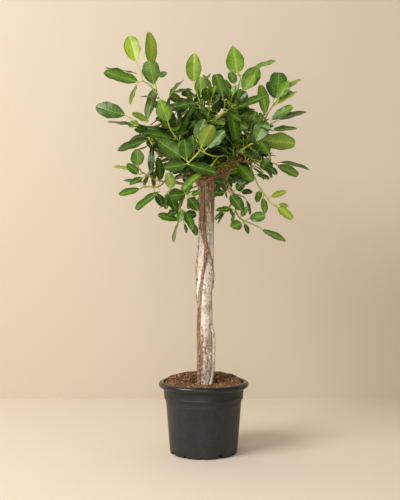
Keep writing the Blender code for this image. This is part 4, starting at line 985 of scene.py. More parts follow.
        ((1.4, 108.4, -21), (7.4, 114.2, -22), 4.4, .9, .3),
        ((-2.6, 111.4, -14), (.2, 118.4, -13), 4.6, .9, .2)),
    "twig_right_top": (
        ((24.9, 123.5, .1), (25.5, 124.4, -1.2), (26.6, 125.8, -2.4)),
        ((27, 126.4, -2.8), (30.4, 132.2, -2.4), 4.2, .95, .5, 1.1, -.2)),
    "twig_top_right": (
        ((12.8, 127, .3), (13.4, 127.5, -2), (14, 128.3, -3.8), (14.3, 128.8, -4.4)),
        ((14.6, 129.3, -4.8), (18.4, 134.6, -4.6), 4.3, .95, .66)),
    "twig_right_front": (
        ((12.4, 106.3, -6), (16, 109, -8), (18.6, 110.3, -9.3)),
        ((18.9, 110.9, -10), (22.5, 117.6, -10), 6, .9, .45),
        ((17.2, 107.9, -9), (19.6, 106.1, -10), 1.4, .6, .5)),
    "twig_right_middle": (
        ((14.6, 109.5, 1), (16.2, 112.3, -3), (17, 114.6, -5)),
        ((17.2, 115.5, -5), (18.8, 121.2, -6), 3.8, .85, .4),
        ((14.9, 117.6, -4), (19.3, 121.2, -4), 1.5, .35, .45),
        ((15.2, 113, -4), (12.8, 117.6, -5), 2.4, .7, .25)),
    "twig_long_bright": (
        ((4.9, 116.3, .6), (3.6, 117.4, -3.6), (6.4, 120.2, -6),
         (9.7, 122.5, -6), (12.4, 125.6, -5), (13.9, 128.2, -4)),
        ((14.4, 129, -4), (16, 132, -4), 1.2, .5, .8),
        ((8.9, 121, -7), (13.2, 118, -8), 3.4, .8, .3)),
    "twig_right_small": (
        ((16.8, 103.2, -1), (19.5, 103.1, -3), (22, 102.8, -4)),
        ((20.3, 103.4, -4), (22.6, 100.4, -4), 2.6, .85, .3),
        ((22.4, 103.6, -4), (24.5, 101.4, -5), 2.4, .8, .3),
        ((23.5, 102.3, -4), (26, 98.7, -5), 1.8, .6, .2),
        ((20.6, 105, -3), (17.9, 107.6, -3), 1.7, .6, .25),
        ((21.3, 101.2, -4), (24, 98.5, -4), 1.1, .6, .3),
        ((17.6, 101, -3), (21.2, 98.8, -4), 1.6, .5, .5)),
    "twig_low_right": (
        ((11.3, 89.3, -7.2), (10.2, 88.6, -8), (9.2, 87, -9), (7.9, 85.9, -9.5)),
        ((7, 85.4, -9.5), (4.2, 82.5, -10), 1.8, .8, .15),
        ((7.4, 84.9, -9), (5.1, 81, -10), 1.4, .6, .25),
        ((9, 87, -9), (10.9, 82.8, -10), 1.6, .7, .35)),
    "twig_trunk_right": (
        ((4.6, 97.6, -1), (6.8, 97.6, -3.5), (8, 97.2, -5)),
        ((7.3, 96.6, -6), (3.7, 95.8, -7), 2.5, .9, .4),
        ((8.2, 96.6, -5), (9.8, 94, -5), 2.8, .85, .15),
        ((9.2, 97.8, -4), (11.3, 95.6, -4), 2, .7, .2)),
}

# Shoots that fill the crown by rule: limb, place along it from 0 to 1, bearing and rise in degrees, length in
# centimetres and number of leaves
GROWN = (
    ("back", 1, 90, 35, 8, 5), ("back", .72, 160, 30, 9, 5), ("back", .72, 20, 20, 9, 5),
    ("back_left", 1, 140, 25, 8, 5), ("back_left", .6, 200, 5, 8, 5), ("back_right", 1, 45, 25, 8, 5),
    ("back_right", .6, -10, 5, 8, 5), ("back_low", 1, 100, -10, 7, 5), ("back_low", .55, 190, -25, 9, 5),
    ("leader", 1, 80, 60, 6, 5), ("leader", .8, 50, 25, 9, 5), ("leader", .66, 135, 30, 9, 5),
    ("far_right", .9, 75, 25, 8, 5), ("far_left", .8, 110, 15, 8, 5), ("right", .75, 60, -20, 8, 5),
    ("left", .7, 120, -25, 8, 5), ("front_right", 1, 300, 35, 4, 5), ("leader", .6, 275, 25, 9, 5),
    ("upper_left", .5, 240, 30, 7, 5), ("upper_right", .6, 300, 10, 7, 7), ("leader", .5, 245, 15, 8, 7),
    ("leader", .74, 285, 20, 7, 6), ("upper_left", .62, 262, -5, 6, 6),
    ("upper_right", .72, 265, -5, 6, 5), ("far_right", .55, 285, 10, 8, 8),
    ("far_left", .5, 260, 10, 8, 7), ("leader", .82, 205, 5, 8, 6), ("upper_right", .35, 345, 15, 8, 7),
    ("right", .45, 265, 35, 6, 7), ("left", .45, 275, 40, 5, 7),
)

# Leaves of the filling shoots that the plant has shed: the shoot's number, then its leaves
SHED = {4: (1, 4), 5: (2, 3, 4), 7: (1, 4), 9: (3,), 10: (0, 3), 13: (0, 3), 14: (1, 2), 15: (0, 2, 3, 4),
        16: (0, 3), 17: (0, 1, 2, 3, 4), 18: (2,), 19: (3, 4), 20: (3, 5, 6), 22: (1, 2), 25: (5,),
        26: (0, 1, 3)}
GOLDEN_ANGLE = math.radians(137.5)
SEATED = 0.0004              # how far a shoot's stem starts off the bark
SQUARE_START = 0.004         # how far it then leaves the bark squarely
STALK_BACK = 0.012           # how far behind its blade a set-out leaf's stalk aims at the stem
PETIOLE = 0.024              # a grown leaf's free stalk, and how far it spreads from its stem
PETIOLE_SPREAD = math.radians(52)
FIRST_LEAF = 0.30            # share of its stem at which a grown shoot's first leaf stands
GROWN_LEAF = (0.104, 0.086)  # length of a grown shoot's first and last blade
GROWN_WIDTH = 0.52           # a grown blade's width as a share of its length
GROWN_SIZE = 0.80            # share of that size at which the plant shows its grown blades
SMALLER_SIZE = 0.62          # and those at the top of its front
SET_OUT_SIZE = 1.03          # share of its length at which a set-out blade is drawn
DROOP = 0.30                 # how far a grown blade leans down from the way of its stalk
FOLD = 0.22                  # rise of a blade's edges as a share of its half width
ARCH = 0.05                  # rise of its middle as a share of its length, in the frame
LIVE_ARCH = 0.4              # share of that rise that a live blade has
RUNS_ON = 0.10               # share of its blade's length that a stalk runs on under it
WIDEST = 0.47                # share of its length at which a blade of the frame is widest

# The frame's shoots gave way a little where they met. What each may have done: leaves pushed back or forward
# in centimetres, or turned on their midribs or round their stems in degrees
PUSHES = (0, 0.7, -0.7, 1.4, -1.4, 2.1, -2.1, 3.0, -3.0, 4.0, -4.0)
TWISTS = (0, 22, -22)
SWINGS = (0, 35, -35, 70, -70, 110, -110, 150)
MATCHED = 0.0006             # how near its tip must be to a corner of the frame's shoot
FAR_OFF = 0.01               # the most that one mark of a leaf counts for when the nearest leaf is sought

# Shoots that are drawn straight from the table instead of from the frame: some in front, and the small twigs
HUNG = ["shoot_centre_left", "shoot_centre_right", "shoot_centre_top", "shoot_right_long",
        "shoot_right_pale", "shoot_left_dark", "shoot_low_left_hanging", "shoot_left_twigs"]
HUNG += [name for name in SHOOTS if name.startswith("twig")]

trunk_mesh = bpy.data.objects["trunk"].data
trunk_faces = BVHTree.FromPolygons([corner.co for corner in trunk_mesh.vertices],
                                   [tuple(face.vertices) for face in trunk_mesh.polygons])


def place(across, up, depth):
    """A place of the table in metres: as it is drawn from EYE, then back along the line of sight."""
    drawn = Vector((across, 0, up)) * CM
    return EYE + (drawn - EYE) * (1 - depth * CM / EYE.y)


def seat(near):
    """Where a shoot leaves the bark nearest to a place, and the way that bark faces."""
    spot, facing, _, _ = trunk_faces.find_nearest(near)
    return spot + facing * SEATED, facing


def nearest_on(points, target):
    """The place nearest to a target on a line through points."""
    best = points[0]
    for start, end in zip(points, points[1:]):
        along = end - start
        share = max(0.0, min(1.0, (target - start).dot(along) / along.length_squared))
        spot = start + along * share
        if (spot - target).length < (best - target).length:
            best = spot
    return best


def facing_of(axis, towards, shown):
    """A blade's upper normal: it shows a share of its face to a viewpoint and tilts the rest to the sky."""
    front = (towards - axis * towards.dot(axis)).normalized()
    sideways = axis.cross(front)
    if sideways.z < 0:
        sideways.negate()
    return (front * shown + sideways * math.sqrt(max(0.0, 1 - shown * shown))).normalized()


def set_leaf(row, stem):
    """A leaf of the table: its foot on the stem, its blade's two ends, its width and its upper normal."""
    start, end, width, shown = row[:4]
    base, tip = place(*start), place(*end)
    axis = (tip - base).normalized()
    foot = nearest_on(stem[2:], base - axis * STALK_BACK)
    return foot, base, tip, width * CM, facing_of(axis, EYE - base, shown)


def stalk_start(stem, part, first, bearing, spread):
    """Where a leaf's stalk leaves its stem, which way it goes, and which way the stem goes there.

    Part runs from 0 at the first leaf, which stands at its share of the stem, to 1 at the last. A stalk
    spreads less from the stem the nearer it is to the tip.
    """
    reach = (first + (1 - first) * part) * (len(stem) - 1)
    knot = min(int(reach), len(stem) - 2)
    along = (stem[knot + 1] - stem[knot]).normalized()
    outward = along.orthogonal().normalized()
    outward.rotate(Matrix.Rotation(bearing, 3, along))
    spread *= 1 - 0.6 * part
    way = along * math.cos(spread) + outward * math.sin(spread)
    return stem[knot].lerp(stem[knot + 1], reach - knot), way, along


def grown_leaf(stem, part, bearing):
    """A grown shoot's leaf: part of the way from its first leaf to its last, at a bearing round its stem."""
    foot, way, along = stalk_start(stem, part, FIRST_LEAF, bearing, PETIOLE_SPREAD)
    base = foot + way * PETIOLE
    axis = (way - Vector((0, 0, DROOP))).normalized()
    length = GROWN_LEAF[0] + (GROWN_LEAF[1] - GROWN_LEAF[0]) * part
    sky = Vector((0, 0, 1)) + along * 0.3
    upper = (sky - axis * sky.dot(axis)).normalized()
    return foot, base, base + axis * length, length * GROWN_WIDTH, upper


def moved_leaf(leaf, push, twist):
    """A leaf pushed back or forward on its petiole and twisted about its midrib."""
    foot, base, tip, width, upper = leaf
    shift = Vector((0, push * CM, 0))
    turned_upper = upper.copy()
    turned_upper.rotate(Matrix.Rotation(math.radians(twist), 3, (tip - base).normalized()))
    return foot, base + shift, tip + shift, width, turned_upper


def set_stem(places):
    """A set-out shoot's stem: it leaves the bark squarely and then follows its places."""
    start, facing = seat(place(*places[0]))
    return [start, start + facing * SQUARE_START] + [place(*spot) for spot in places[1:]]


def grown_stem(row):
    """A grown shoot's stem: it leaves the bark squarely, then bends up a little towards its end."""
    limb, share, bearing, rise, length, _ = row
    rows = LIMBS[limb]
    reach = share * (len(rows) - 1)
    knot = min(int(reach), len(rows) - 2)
    middle = Vector(rows[knot][:3]).lerp(Vector(rows[knot + 1][:3]), reach - knot) * CM
    bearing, rise = math.radians(bearing), math.radians(rise)
    way = Vector((math.cos(bearing) * math.cos(rise), math.sin(bearing) * math.cos(rise), math.sin(rise)))
    start, facing = seat(middle + way * 0.01)
    free = start + facing * SQUARE_START
    bend = Vector((0, 0, 0.10))
    return [start, free] + [free + (way * part + bend * part * part) * length * CM
                            for part in (0.33, 0.66, 1.0)]


def towards_light(leaf, size=1.0):
    """A leaf that the crown's rule laid, rolled on its midrib so that its face looks out of the crown."""
    foot, base, tip, width, upper = leaf
    axis = (tip - base).normalized()
    middle = base.lerp(tip, 0.5)
    outward = Vector((middle.x - 0.02, middle.y, 0)).normalized() + upper * 0.3 + Vector((-0.15, -0.35, 0.45))
    return foot, base, base.lerp(tip, size), width * size, (outward - axis * outward.dot(axis)).normalized()


def leaf_marks(leaf):
    """Three places by which the frame's own leaf is known: its tip and the two edges of its widest part."""
    _, base, tip, width, upper = leaf
    axis = (tip - base).normalized()
    length = (tip - base).length
    side = axis.cross(upper)
    centre = base + axis * length * WIDEST + upper * length * ARCH * 4 * WIDEST * (1 - WIDEST)
    lift = upper * width / 2 * FOLD
    return tip, centre - side * width / 2 + lift, centre + side * width / 2 + lift


def as_built(name, stem, choices_of_leaves):
    """The stem and the leaves of a shoot as the frame has them, out of the places that each may take.

    choices_of_leaves makes every leaf's choices from the stem. A leaf that the frame lacks comes out as None.
    """
    tree = search_tree([corner.co for corner in bpy.data.objects[name].data.vertices])
    shifted = [stem[:2] + [point + Vector((0, push * CM, 0)) for point in stem[2:]] for push in PUSHES]
    stem = min(shifted, key=lambda points: tree.find(points[-1])[2])
    leaves = []
    for choices in choices_of_leaves(stem):
        best, missed = None, 1.0
        for leaf in choices:
            aways = [min(tree.find(mark)[2], FAR_OFF) for mark in leaf_marks(leaf)]
            if aways[0] < MATCHED and sum(aways) < missed:
                best, missed = leaf, sum(aways)
        leaves.append(best)
    return stem, leaves


VEINS = 9                    # pairs of side veins
SLANT = 0.15                 # how far a side vein runs on towards the tip, as a share of the blade's length
ACROSS = (-1, -0.84, -0.62, -0.38, -0.16, -0.05, 0, 0.05, 0.16, 0.38, 0.62, 0.84, 1)
SKIN = 0.0005                # thickness of the blade
PUCKER = 0.00042             # how far the blade bulges between its side veins


def half_width(t, widest, pointed):
    """Half width of an oval blade as a share of its greatest, from its base at 0 to its tip at 1."""
    return max(math.sin(math.pi * min(max(t, 0.0), 1.0) ** widest), 0.0) ** (0.66 + pointed * t)


def blade_parts(leaf, dice, small=False, form=()):
    """A blade of two skins that meet in a thin rim, with a midrib and puckers: its corners and faces, how
    many of the faces are its back's, and where each corner is on it.

    Its form says where it is widest, towards the base below 1 and towards the tip above, and how pointed its
    tip is. Its rows of corners run along the side veins, one row on each vein and one between each two. A
    small leaf has fewer rows and no puckers.
    """
    _, base, tip, width, upper = leaf
    axis = (tip - base).normalized()
    side = axis.cross(upper)
    length = (tip - base).length
    widest, pointed = form or (dice.uniform(0.88, 1.12), dice.uniform(-0.34, -0.06))
    fold = FOLD * dice.uniform(0.3, 0.9)
    bow = ARCH * LIVE_ARCH + dice.gauss(0.0, 0.010)
    sway = dice.gauss(0, 0.014)
    roll = dice.gauss(0, 0.26)
    waves = [(dice.uniform(1.2, 2.8), dice.uniform(0, math.tau), dice.uniform(0.008, 0.024))
             for _ in range(2)]
    bays = [(dice.uniform(1.5, 3.5), dice.uniform(0, math.tau), dice.uniform(0.01, 0.06))
            for _ in range(2)]

    def spot(u, s, under):
        """A corner and the blade's half width there: u along a vein's start, s across, from -1 to 1."""
        t = u + SLANT * 4 * u * (1 - u) * abs(s) ** 1.3
        bay, begin, dip = bays[s > 0]
        half = width / 2 * half_width(t, widest, pointed) * (1 + dip * math.sin(bay * math.tau * t + begin))
        beats, start, swing = waves[s > 0]
        rise = length * bow * 4 * t * (1 - t) - length * 0.012 * t ** 4
        rise += half * fold * (abs(s) * 1.15 - 0.2 * s * s)
        rise += length * swing * math.sin(beats * math.tau * t + start) * s * s * 4 * t * (1 - t)
        if not small:
            rise -= PUCKER * math.cos(math.tau * VEINS * u) * 4 * abs(s) * (1 - abs(s))
        if under:
            rise -= SKIN * (1 - s ** 8) + max(0.0, 0.0011 - 0.0009 * t) * max(0.0, 1 - abs(s) / 0.10)
        else:
            rise -= max(0.0, 0.0006 - 0.0004 * t) * max(0.0, 1 - abs(s) / 0.10)
        rise += s * half * roll * (t - 0.4)
        across = s * half + length * sway * 4 * t * (1 - t)
        return base + axis * length * t + side * across + upper * rise, half

    corners, on_blade = [base, tip], [(0.0, 0.0, 0.0), (1.0, 0.0, 0.0)]
    bands = VEINS if small else 2 * VEINS
    rows = [step / bands for step in range(1, bands)]
    places_across = ACROSS[::2] if small else ACROSS
    columns = len(places_across)
    for under in (False, True):
        for u in rows:
            for s in places_across[1:-1] if under else places_across:
                corner, half = spot(u, s, under)
                corners.append(corner)
                on_blade.append((u, s, abs(s) * half * 1000))
    lower = 2 + len(rows) * columns

    def at(row, column, under):
        """The number of a corner. The back has the rim's corners in common with the face."""
        if under and 0 < column < columns - 1:
            return lower + row * (columns - 2) + column - 1
        return 2 + row * columns + column

    faces = []
    for under in (False, True):
        for column in range(columns - 1):
            made = [[at(0, column, under), at(0, column + 1, under), 0],
                    [at(len(rows) - 1, column + 1, under), at(len(rows) - 1, column, under), 1]]
            for row in range(len(rows) - 1):
                made.append([at(row, column, under), at(row + 1, column, under),
                             at(row + 1, column + 1, under), at(row, column + 1, under)])
            faces += [face[::-1] for face in made] if under else made
    return (corners, faces), len(faces) // 2, on_blade


def curve_through(points, steps):
    """A smooth line through points, with steps places between each two."""
    line = []
    last = len(points) - 1
    for index in range(last):
        before, start, end = points[max(index - 1, 0)], points[index], points[index + 1]
        after = points[min(index + 2, last)]
        for step in range(steps):
            t = step / steps
            bend = 2 * before - 5 * start + 4 * end - after
            swing = 3 * start - before - 3 * end + after
            line.append(0.5 * (2 * start + (end - before) * t + bend * t * t + swing * t ** 3))
    return line + [points[-1]]


STEM_SIDES = 9
STEM_RADII = (0.0032, 0.0021)    # at the stem's foot and at its tip
SWELLING = 0.35                  # how much a stem swells at a leaf's foot, and how far to each side of it
SWOLLEN = 0.006
# The bud at a stem's tip: shares of its length with the radius there
BUD = ((-0.1, 0.0015), (0.15, 0.0021), (0.45, 0.0018), (0.75, 0.0010), (1.0, 0.0002))
PETIOLE_RADII = (0.0019, 0.0016, 0.0014, 0.0013, 0.0013, 0.0013, 0.0013, 0.0014, 0.0015, 0.0013, 0.0011,
                 0.0009, 0.0004)


def young_stem(stem, feet, dice, size=1.0):
    """A shoot's stem, rooted a little way into the bark and swollen at each leaf's foot, and its bud."""
    sunk = [stem[0] - (stem[1] - stem[0]).normalized() * 0.005] + stem[1:]
    line = curve_through(sunk, 7)
    last = len(line) - 1
    radii = []
    for index, point in enumerate(line):
        radius = size * (STEM_RADII[0] + (STEM_RADII[1] - STEM_RADII[0]) * index / last)
        near = min([(point - foot).length for foot in feet] or [1.0])
        radii.append(radius * (1 + SWELLING * max(0.0, 1 - near / SWOLLEN)) * dice.uniform(0.97, 1.03))
    heading = (line[-1] - line[-2]).normalized()
    length = dice.uniform(0.010, 0.017) * size
    bud = [line[-1] + heading * length * share for share, _ in BUD]
    return sweep(line, radii, sides=STEM_SIDES), sweep(bud, [size * radius for _, radius in BUD], sides=8)


def petiole(leaf, size=1.0):
    """A leaf's stalk: it leaves its stem in a short curve, swells at both ends and ends under the blade."""
    foot, base, tip, _, upper = leaf
    axis = (tip - base).normalized()
    length = (tip - base).length
    arched = upper * RUNS_ON * ARCH * LIVE_ARCH * 4 * (1 - RUNS_ON) * length
    points = [foot, foot.lerp(base, 0.4) - upper * 0.0012, base - axis * 0.002 - upper * 0.0004,
              base + axis * length * RUNS_ON - upper * 0.0006 + arched]
    radii = [radius * size for radius in PETIOLE_RADII]
    return sweep(curve_through(points, 4), radii, sides=7 if size == 1.0 else 5)


OLD_WOOD_BELOW = 0.985       # height below which the shoots' bark is brown
LEAF_MARKS = ("leaf_u", "leaf_s", "rib_mm", "age", "tint")
SMALL_STEM = 0.55            # a small twig's stem and stalks as shares of a shoot's
SMALL_STALK = 0.7


def leafy_shoot(name, twigs, seed, small=False):
    """One object for a shoot, or for several twigs, each with its stem, leaves and the leaves' ages, which
    also
    carry painted light and shade: young wood in its first material, leaf faces in the second, leaf backs in
    the third. The marks tell where a place is on its blade, and each part's age and tint."""
    dice = random.Random(seed)
    corners, faces, slots, marks = [], [], [], []
    stem_size, stalk_size = (SMALL_STEM, SMALL_STALK) if small else (1.0, 1.0)

    def take(part, slot, ages, tint, on_blade=None):
        """Adds a part's corners and faces, and gives its faces a slot and its corners their marks."""
        part_corners, part_faces = part
        start, count = len(corners), len(part_corners)
        corners.extend(part_corners)
        faces.extend([start + index for index in face] for face in part_faces)
        slots.extend(slot if isinstance(slot, list) else [slot] * len(part_faces))
        ages = ages if isinstance(ages, list) else [ages] * count
        marks.extend((*spot, age, tint) for spot, age in zip(on_blade or [(0.0, 0.0, 0.0)] * count, ages))

    for stem, leaves, tones in twigs:
        present = [(leaf, tone) for leaf, tone in zip(leaves, tones) if leaf]
        wood, bud = young_stem(stem, [leaf[0] for leaf, _ in present], dice, stem_size)
        rings = len(wood[0]) // STEM_SIDES
        greening = 0.75 if stem[0].z > OLD_WOOD_BELOW else 0.25
        ages = [0.15 + greening * min(1.0, 2.2 * ring / (rings - 1)) for ring in range(rings)
                for _ in range(STEM_SIDES)]
        take(wood, 0, ages, dice.random())
        take(bud, 0, 0.9, dice.random())
        for leaf, (tone, *form) in present:
            tint = dice.random()
            take(petiole(leaf, stalk_size), 0, 0.25 + greening, tint)
            blade, backs, on_blade = blade_parts(leaf, dice, small, form)
            take(blade, [1] * (len(blade[1]) - backs) + [2] * backs, tone, tint, on_blade)
    shoot = mesh_piece(name, corners, faces, dict(zip(LEAF_MARKS, zip(*marks))))
    for skin in shoot_skins:
        shoot.data.materials.append(skin)
    shoot.data.polygons.foreach_set("material_index", slots)
    shoot.data.set_sharp_from_angle(angle=math.radians(70))
    return shoot


def leaf_skin(name, back):
    """Banyan leaf: leathery, under a waxy cuticle that gives a satin shine over the sunken pale veins. The
    back is paler and dull, with the veins raised. Its edges are darkened with painted shade, and its age mark
    also carries painted light and shade. The net of its finest veins is drawn as coarse as it needs to show."""
    skin = new_material(name)
    place = add(skin, "TexCoord").outputs["Object"]
    along, across, from_rib, age, tint = [add(skin, "Attribute", attribute_name=mark).outputs["Fac"]
                                          for mark in LEAF_MARKS]
    width = add(skin, "Math", (across,), operation="ABSOLUTE")
    mottle = add(skin, "TexNoise", {"Vector": place, "Scale": every(16.67), "Detail": 5.0})
    shade = add(skin, "MapRange", (mottle, 0.3, 0.7, -0.14, 0.14))
    paler_middle = add(skin, "MapRange", (width, 0.0, 0.9, 0.13, -0.13))
    uneven = add(skin, "Math", (shade, paler_middle), operation="ADD")
    # The age mark is partly painted light and shade: some leaves' tones are set lighter or darker for the
    # light where they hang.
    aged = add(skin, "Math", (age, uneven), operation="ADD")
    tinted = add(skin, "Math", (tint, 0.16, -0.08), operation="MULTIPLY_ADD")
    young = add(skin, "Math", (aged, tinted), operation="ADD", use_clamp=True)
    greens = ((0.0, "#4a6a26"), (0.5, "#748f33"), (1.0, "#a5b745")) if back else (
        (0.0, "#234309"), (0.30, "#42690f"), (0.60, "#678f15"), (1.0, "#9eb428"))
    green = add(skin, "ValToRGB", (young,), stops=greens)
    turn = add(skin, "Math", (along, float(VEINS)), operation="MULTIPLY")
    beat = add(skin, "Math", (turn, 1.0), operation="PINGPONG")
    near = add(skin, "MapRange", (beat, 0.90, 0.98))
    near_too = add(skin, "MapRange", (beat, 0.02, 0.10, 1.0, 0.0))
    on_vein = add(skin, "Math", (near, near_too), operation="ADD")
    fading = add(skin, "MapRange", (width, 0.55, 0.98, 0.32, 0.0))
    vein = add(skin, "Math", (on_vein, fading), operation="MULTIPLY")
    midrib = add(skin, "MapRange", (from_rib, 0.5, 1.2, 0.62, 0.0))
    ribbed = add(skin, "Math", (vein, midrib), operation="MAXIMUM")
    pale = add(skin, "Mix", (young, "#8fa356", "#c9d77a"), data_type="RGBA")
    veined = add(skin, "Mix", (ribbed, green, pale), data_type="RGBA")
    # Painted shade: the blade darkens towards its edges.
    rim = add(skin, "MapRange", (width, 0.74, 1.0, 0.0, 0.55))
    colour = add(skin, "Mix", (rim, veined, "#3f5f16"), data_type="RGBA")
    net = add(skin, "TexVoronoi", {"Vector": place, "Scale": every(2.38)}, feature="DISTANCE_TO_EDGE")
    mesh_vein = add(skin, "MapRange", (net, 0.0, 0.12, 0.0, 0.25))
    lying = add(skin, "Math", (mesh_vein, ribbed), operation="ADD" if back else "SUBTRACT")
    bump = add(skin, "Bump", {"Height": lying, "Strength": 0.35, "Distance": 0.0006})
    shader = add(skin, "BsdfPrincipled", {"Base Color": colour, "Roughness": 0.62 if back else 0.38,
                                          "IOR": 1.45, "Specular IOR Level": 0.22, "Normal": bump,
                                          "Coat Weight": 0.0 if back else 0.45, "Coat Roughness": 0.22})
    lit_through = add(skin, "BsdfTranslucent", {"Color": colour})
    mixed = add(skin, "MixShader", (0.16, shader, lit_through))
    return finish_with(skin, mixed)


def green_wood():
    """Young fig wood and leaf stalks: smooth yellow-green skin, browner and dotted with pale pores near the
    bark. The pores are finer, and drawn as coarse as they need to show."""
    wood = new_material("green_wood")
    place = add(wood, "TexCoord").outputs["Object"]
    age = add(wood, "Attribute", attribute_name="age").outputs["Fac"]
    skin = add(wood, "ValToRGB", (age,), stops=((0.0, "#6b5a33"), (1.0, "#b3c648")))
    pores = add(wood, "TexVoronoi", {"Vector": place, "Scale": every(2.63)})
    pore = add(wood, "MapRange", (pores, 0.12, 0.25, 0.5, 0.0))
    colour = add(wood, "Mix", (pore, skin, "#b9a883"), data_type="RGBA")
    shader = add(wood, "BsdfPrincipled", {"Base Color": colour, "Roughness": 0.5, "IOR": 1.45})
    return finish_with(wood, shader)


def set_out_shoot(name, places, rows):
    """The stem and leaves of a shoot of the table."""
    if name in HUNG:
        stem = [place(*spot) for spot in places]
        leaves = [set_leaf(row, [stem[0]] * 2 + stem[1:]) for row in rows]
    else:
        stem, leaves = as_built(name, set_stem(places), lambda points: [
            [moved_leaf(set_leaf(row, points), push, twist) for push in PUSHES for twist in TWISTS]
            for row in rows])
    return stem, [leaf and (leaf[0], leaf[1], leaf[1].lerp(leaf[2], SET_OUT_SIZE), *leaf[3:])
                  for leaf in leaves]


def grown_shoot(name, number, row):
    """The stem and leaves of a shoot that grows by the crown's rule."""
    count = row[5]
    stem, leaves = as_built(name, grown_stem(row), lambda points: [
        [moved_leaf(grown_leaf(points[1:], index / (count - 1),
                               number + index * GOLDEN_ANGLE + math.radians(swing)), push, 0)
         for push in PUSHES[:5] for swing in SWINGS] for index in range(count)])
    for index, leaf in enumerate(leaves):
        if leaf:
            size = SMALLER_SIZE if leaf[2].y < 0.02 and leaf[2].z > 1.15 else GROWN_SIZE
            leaves[index] = None if index in SHED.get(number, ()) else towards_light(leaf, size)
    return stem, leaves


shoot_skins = [green_wood(), leaf_skin("waxy_leaf_face", False), leaf_skin("dull_leaf_back", True)]
shoots = []
for name, (places, *rows) in SHOOTS.items():
    shoots.append((name, *set_out_shoot(name, places, rows), [row[4:] for row in rows]))
for number, row in enumerate(GROWN, 1):
    name = f"shoot_inner_{number:02d}"
    tones = [(0.05 + 0.13 * ((number + index) % 4),) for index in range(row[5])]
    shoots.append((name, *grown_shoot(name, number, row), tones))
for seed, (name, stem, leaves, tones) in enumerate(shoots):
    if not any(leaves):
        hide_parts(name)
        continue
    shoot = leafy_shoot(name.replace("shoot", "leaves"), [(stem, leaves, tones)], seed)
    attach(shoot, "root")
    if name.startswith("shoot"):
        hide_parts(name)


# ---- Inner twigs ----------------------------------------------------------------------------------------
# Short twigs with small dark leaves crowd the inside of the crown, where they hide its limbs. Their leaves
# are darkened partly with painted shade of the crown's inside. They grow from the nearest limb towards places
# all through the crown, wherever the shoots leave them room.

TWIGS = 200
TWIG_GROUPS = 18
CROWN_MIDDLE = Vector((0.030, 0.020, 1.110))
CROWN_REACH = Vector((0.185, 0.190, 0.150))    # from its middle across, to the back and up
TWIG_LENGTHS = (0.03, 0.13)  # shortest and longest
TWIG_LEAVES = 4              # fewest leaves that a twig has buds for, and the length that gives it one more
LEAF_EVERY = 0.022
TWIG_FIRST = 0.35            # share of its twig at which the first leaf stands
TWIG_SPREAD = math.radians(62)
TWIG_SWINGS = (0, 50, -50, 100, -100, 170)
SMALL_STALKS = (0.008, 0.015)
SMALL_LEAF = (0.044, 0.078)
SMALL_WIDTH = (0.50, 0.66)
# Ages of the small leaves, skewed dark: partly old leaves, partly painted shade of the crown's inside.
SMALL_AGES_AND_SHADE = (0.0, 0.0, 0.06, 0.14, 0.28, 0.55)
VIEW_REACH = 0.20            # how far in front of a set-out shoot no small leaf may grow
# Small gaps that stay open right through the crown: (across, up) in centimetres, as drawn on the elevation
GAPS = ((.7, 124.7), (2.4, 122.8), (6.6, 122), (5.3, 120.2), (-3.5, 118.4), (1.4, 117.7), (-9.9, 118.2),
        (6.7, 115.6), (13.8, 113.4), (12.8, 107.8))
GAP_LEVEL = 0.3              # how far a gap's sheet reaches up and down, and from front to back
GAP_DEPTHS = (-26, 38)


def leaf_shape(leaf):
    """A leaf's outline as a search tree, to see what it would cross."""
    foot, base, tip, width, upper = leaf
    side = (tip - base).normalized().cross(upper) * width / 2
    middle = base.lerp(tip, 0.45)
    lift = upper * width / 2 * FOLD
    corners = [foot, base, middle - side + lift, middle + side + lift, tip]
    return BVHTree.FromPolygons(corners, [(1, 2, 4), (1, 4, 3), (0, 1, 4)])


def stem_shape(stem):
    """A stem as a thin strip, to see what it would cross."""
    corners = [point + Vector((0, 0, level)) for point in stem for level in (-0.0012, 0.0012)]
    return BVHTree.FromPolygons(corners, [(i, i + 1, i + 3, i + 2) for i in range(0, len(corners) - 2, 2)])


def free_of(shape, others):
    """Whether a shape crosses nothing."""
    return not any(shape.overlap(other) for other in others)


def open_views():
    """Thin sheets that reach from the set-out shoots, the root mat and the stem some way out to the front,
    and right through the crown at its gaps. No small leaf may grow through them, so that all those stay in
    view."""
    lines = []
    for name, stem, leaves, _ in shoots:
        if "inner" not in name:
            first = 0 if name in HUNG else 1
            lines += list(zip(stem[first:], stem[first + 1:]))
            for leaf in filter(None, leaves):
                _, base, tip, width, upper = leaf
                edge = (tip - base).normalized().cross(upper) * width / 2
                low, high = base.lerp(tip, 0.2), base.lerp(tip, 0.8)
                lines += [(base, tip)] + [(low + side * edge, high + side * edge) for side in (-0.6, 0.6)]
    for level in (-0.012, 0.004, 0.020):    # the root mat
        spots = [Vector(row[:3]) * CM + Vector((0, -0.02, level)) for row in MAT_LINE]
        lines += list(zip(spots[1:], spots[2:]))
    for across in (-1.4, 0.0, 1.4, 2.8):    # the top of the stem
        lines.append((Vector((across, -2.5, 86)) * CM, Vector((across, -2.5, 97)) * CM))
    corners = []
    for start, end in lines:
        out = (EYE - start).normalized() * VIEW_REACH
        corners += [start + out * 0.02, end + out * 0.02, end + out, start + out]
    for across, up in GAPS:
        for depth, ends in zip(GAP_DEPTHS, ((-1, 1), (1, -1))):
            corners += [place(across, up + end * GAP_LEVEL, depth) for end in ends]
    return BVHTree.FromPolygons(corners, [(i, i + 1, i + 2, i + 3) for i in range(0, len(corners), 4)])


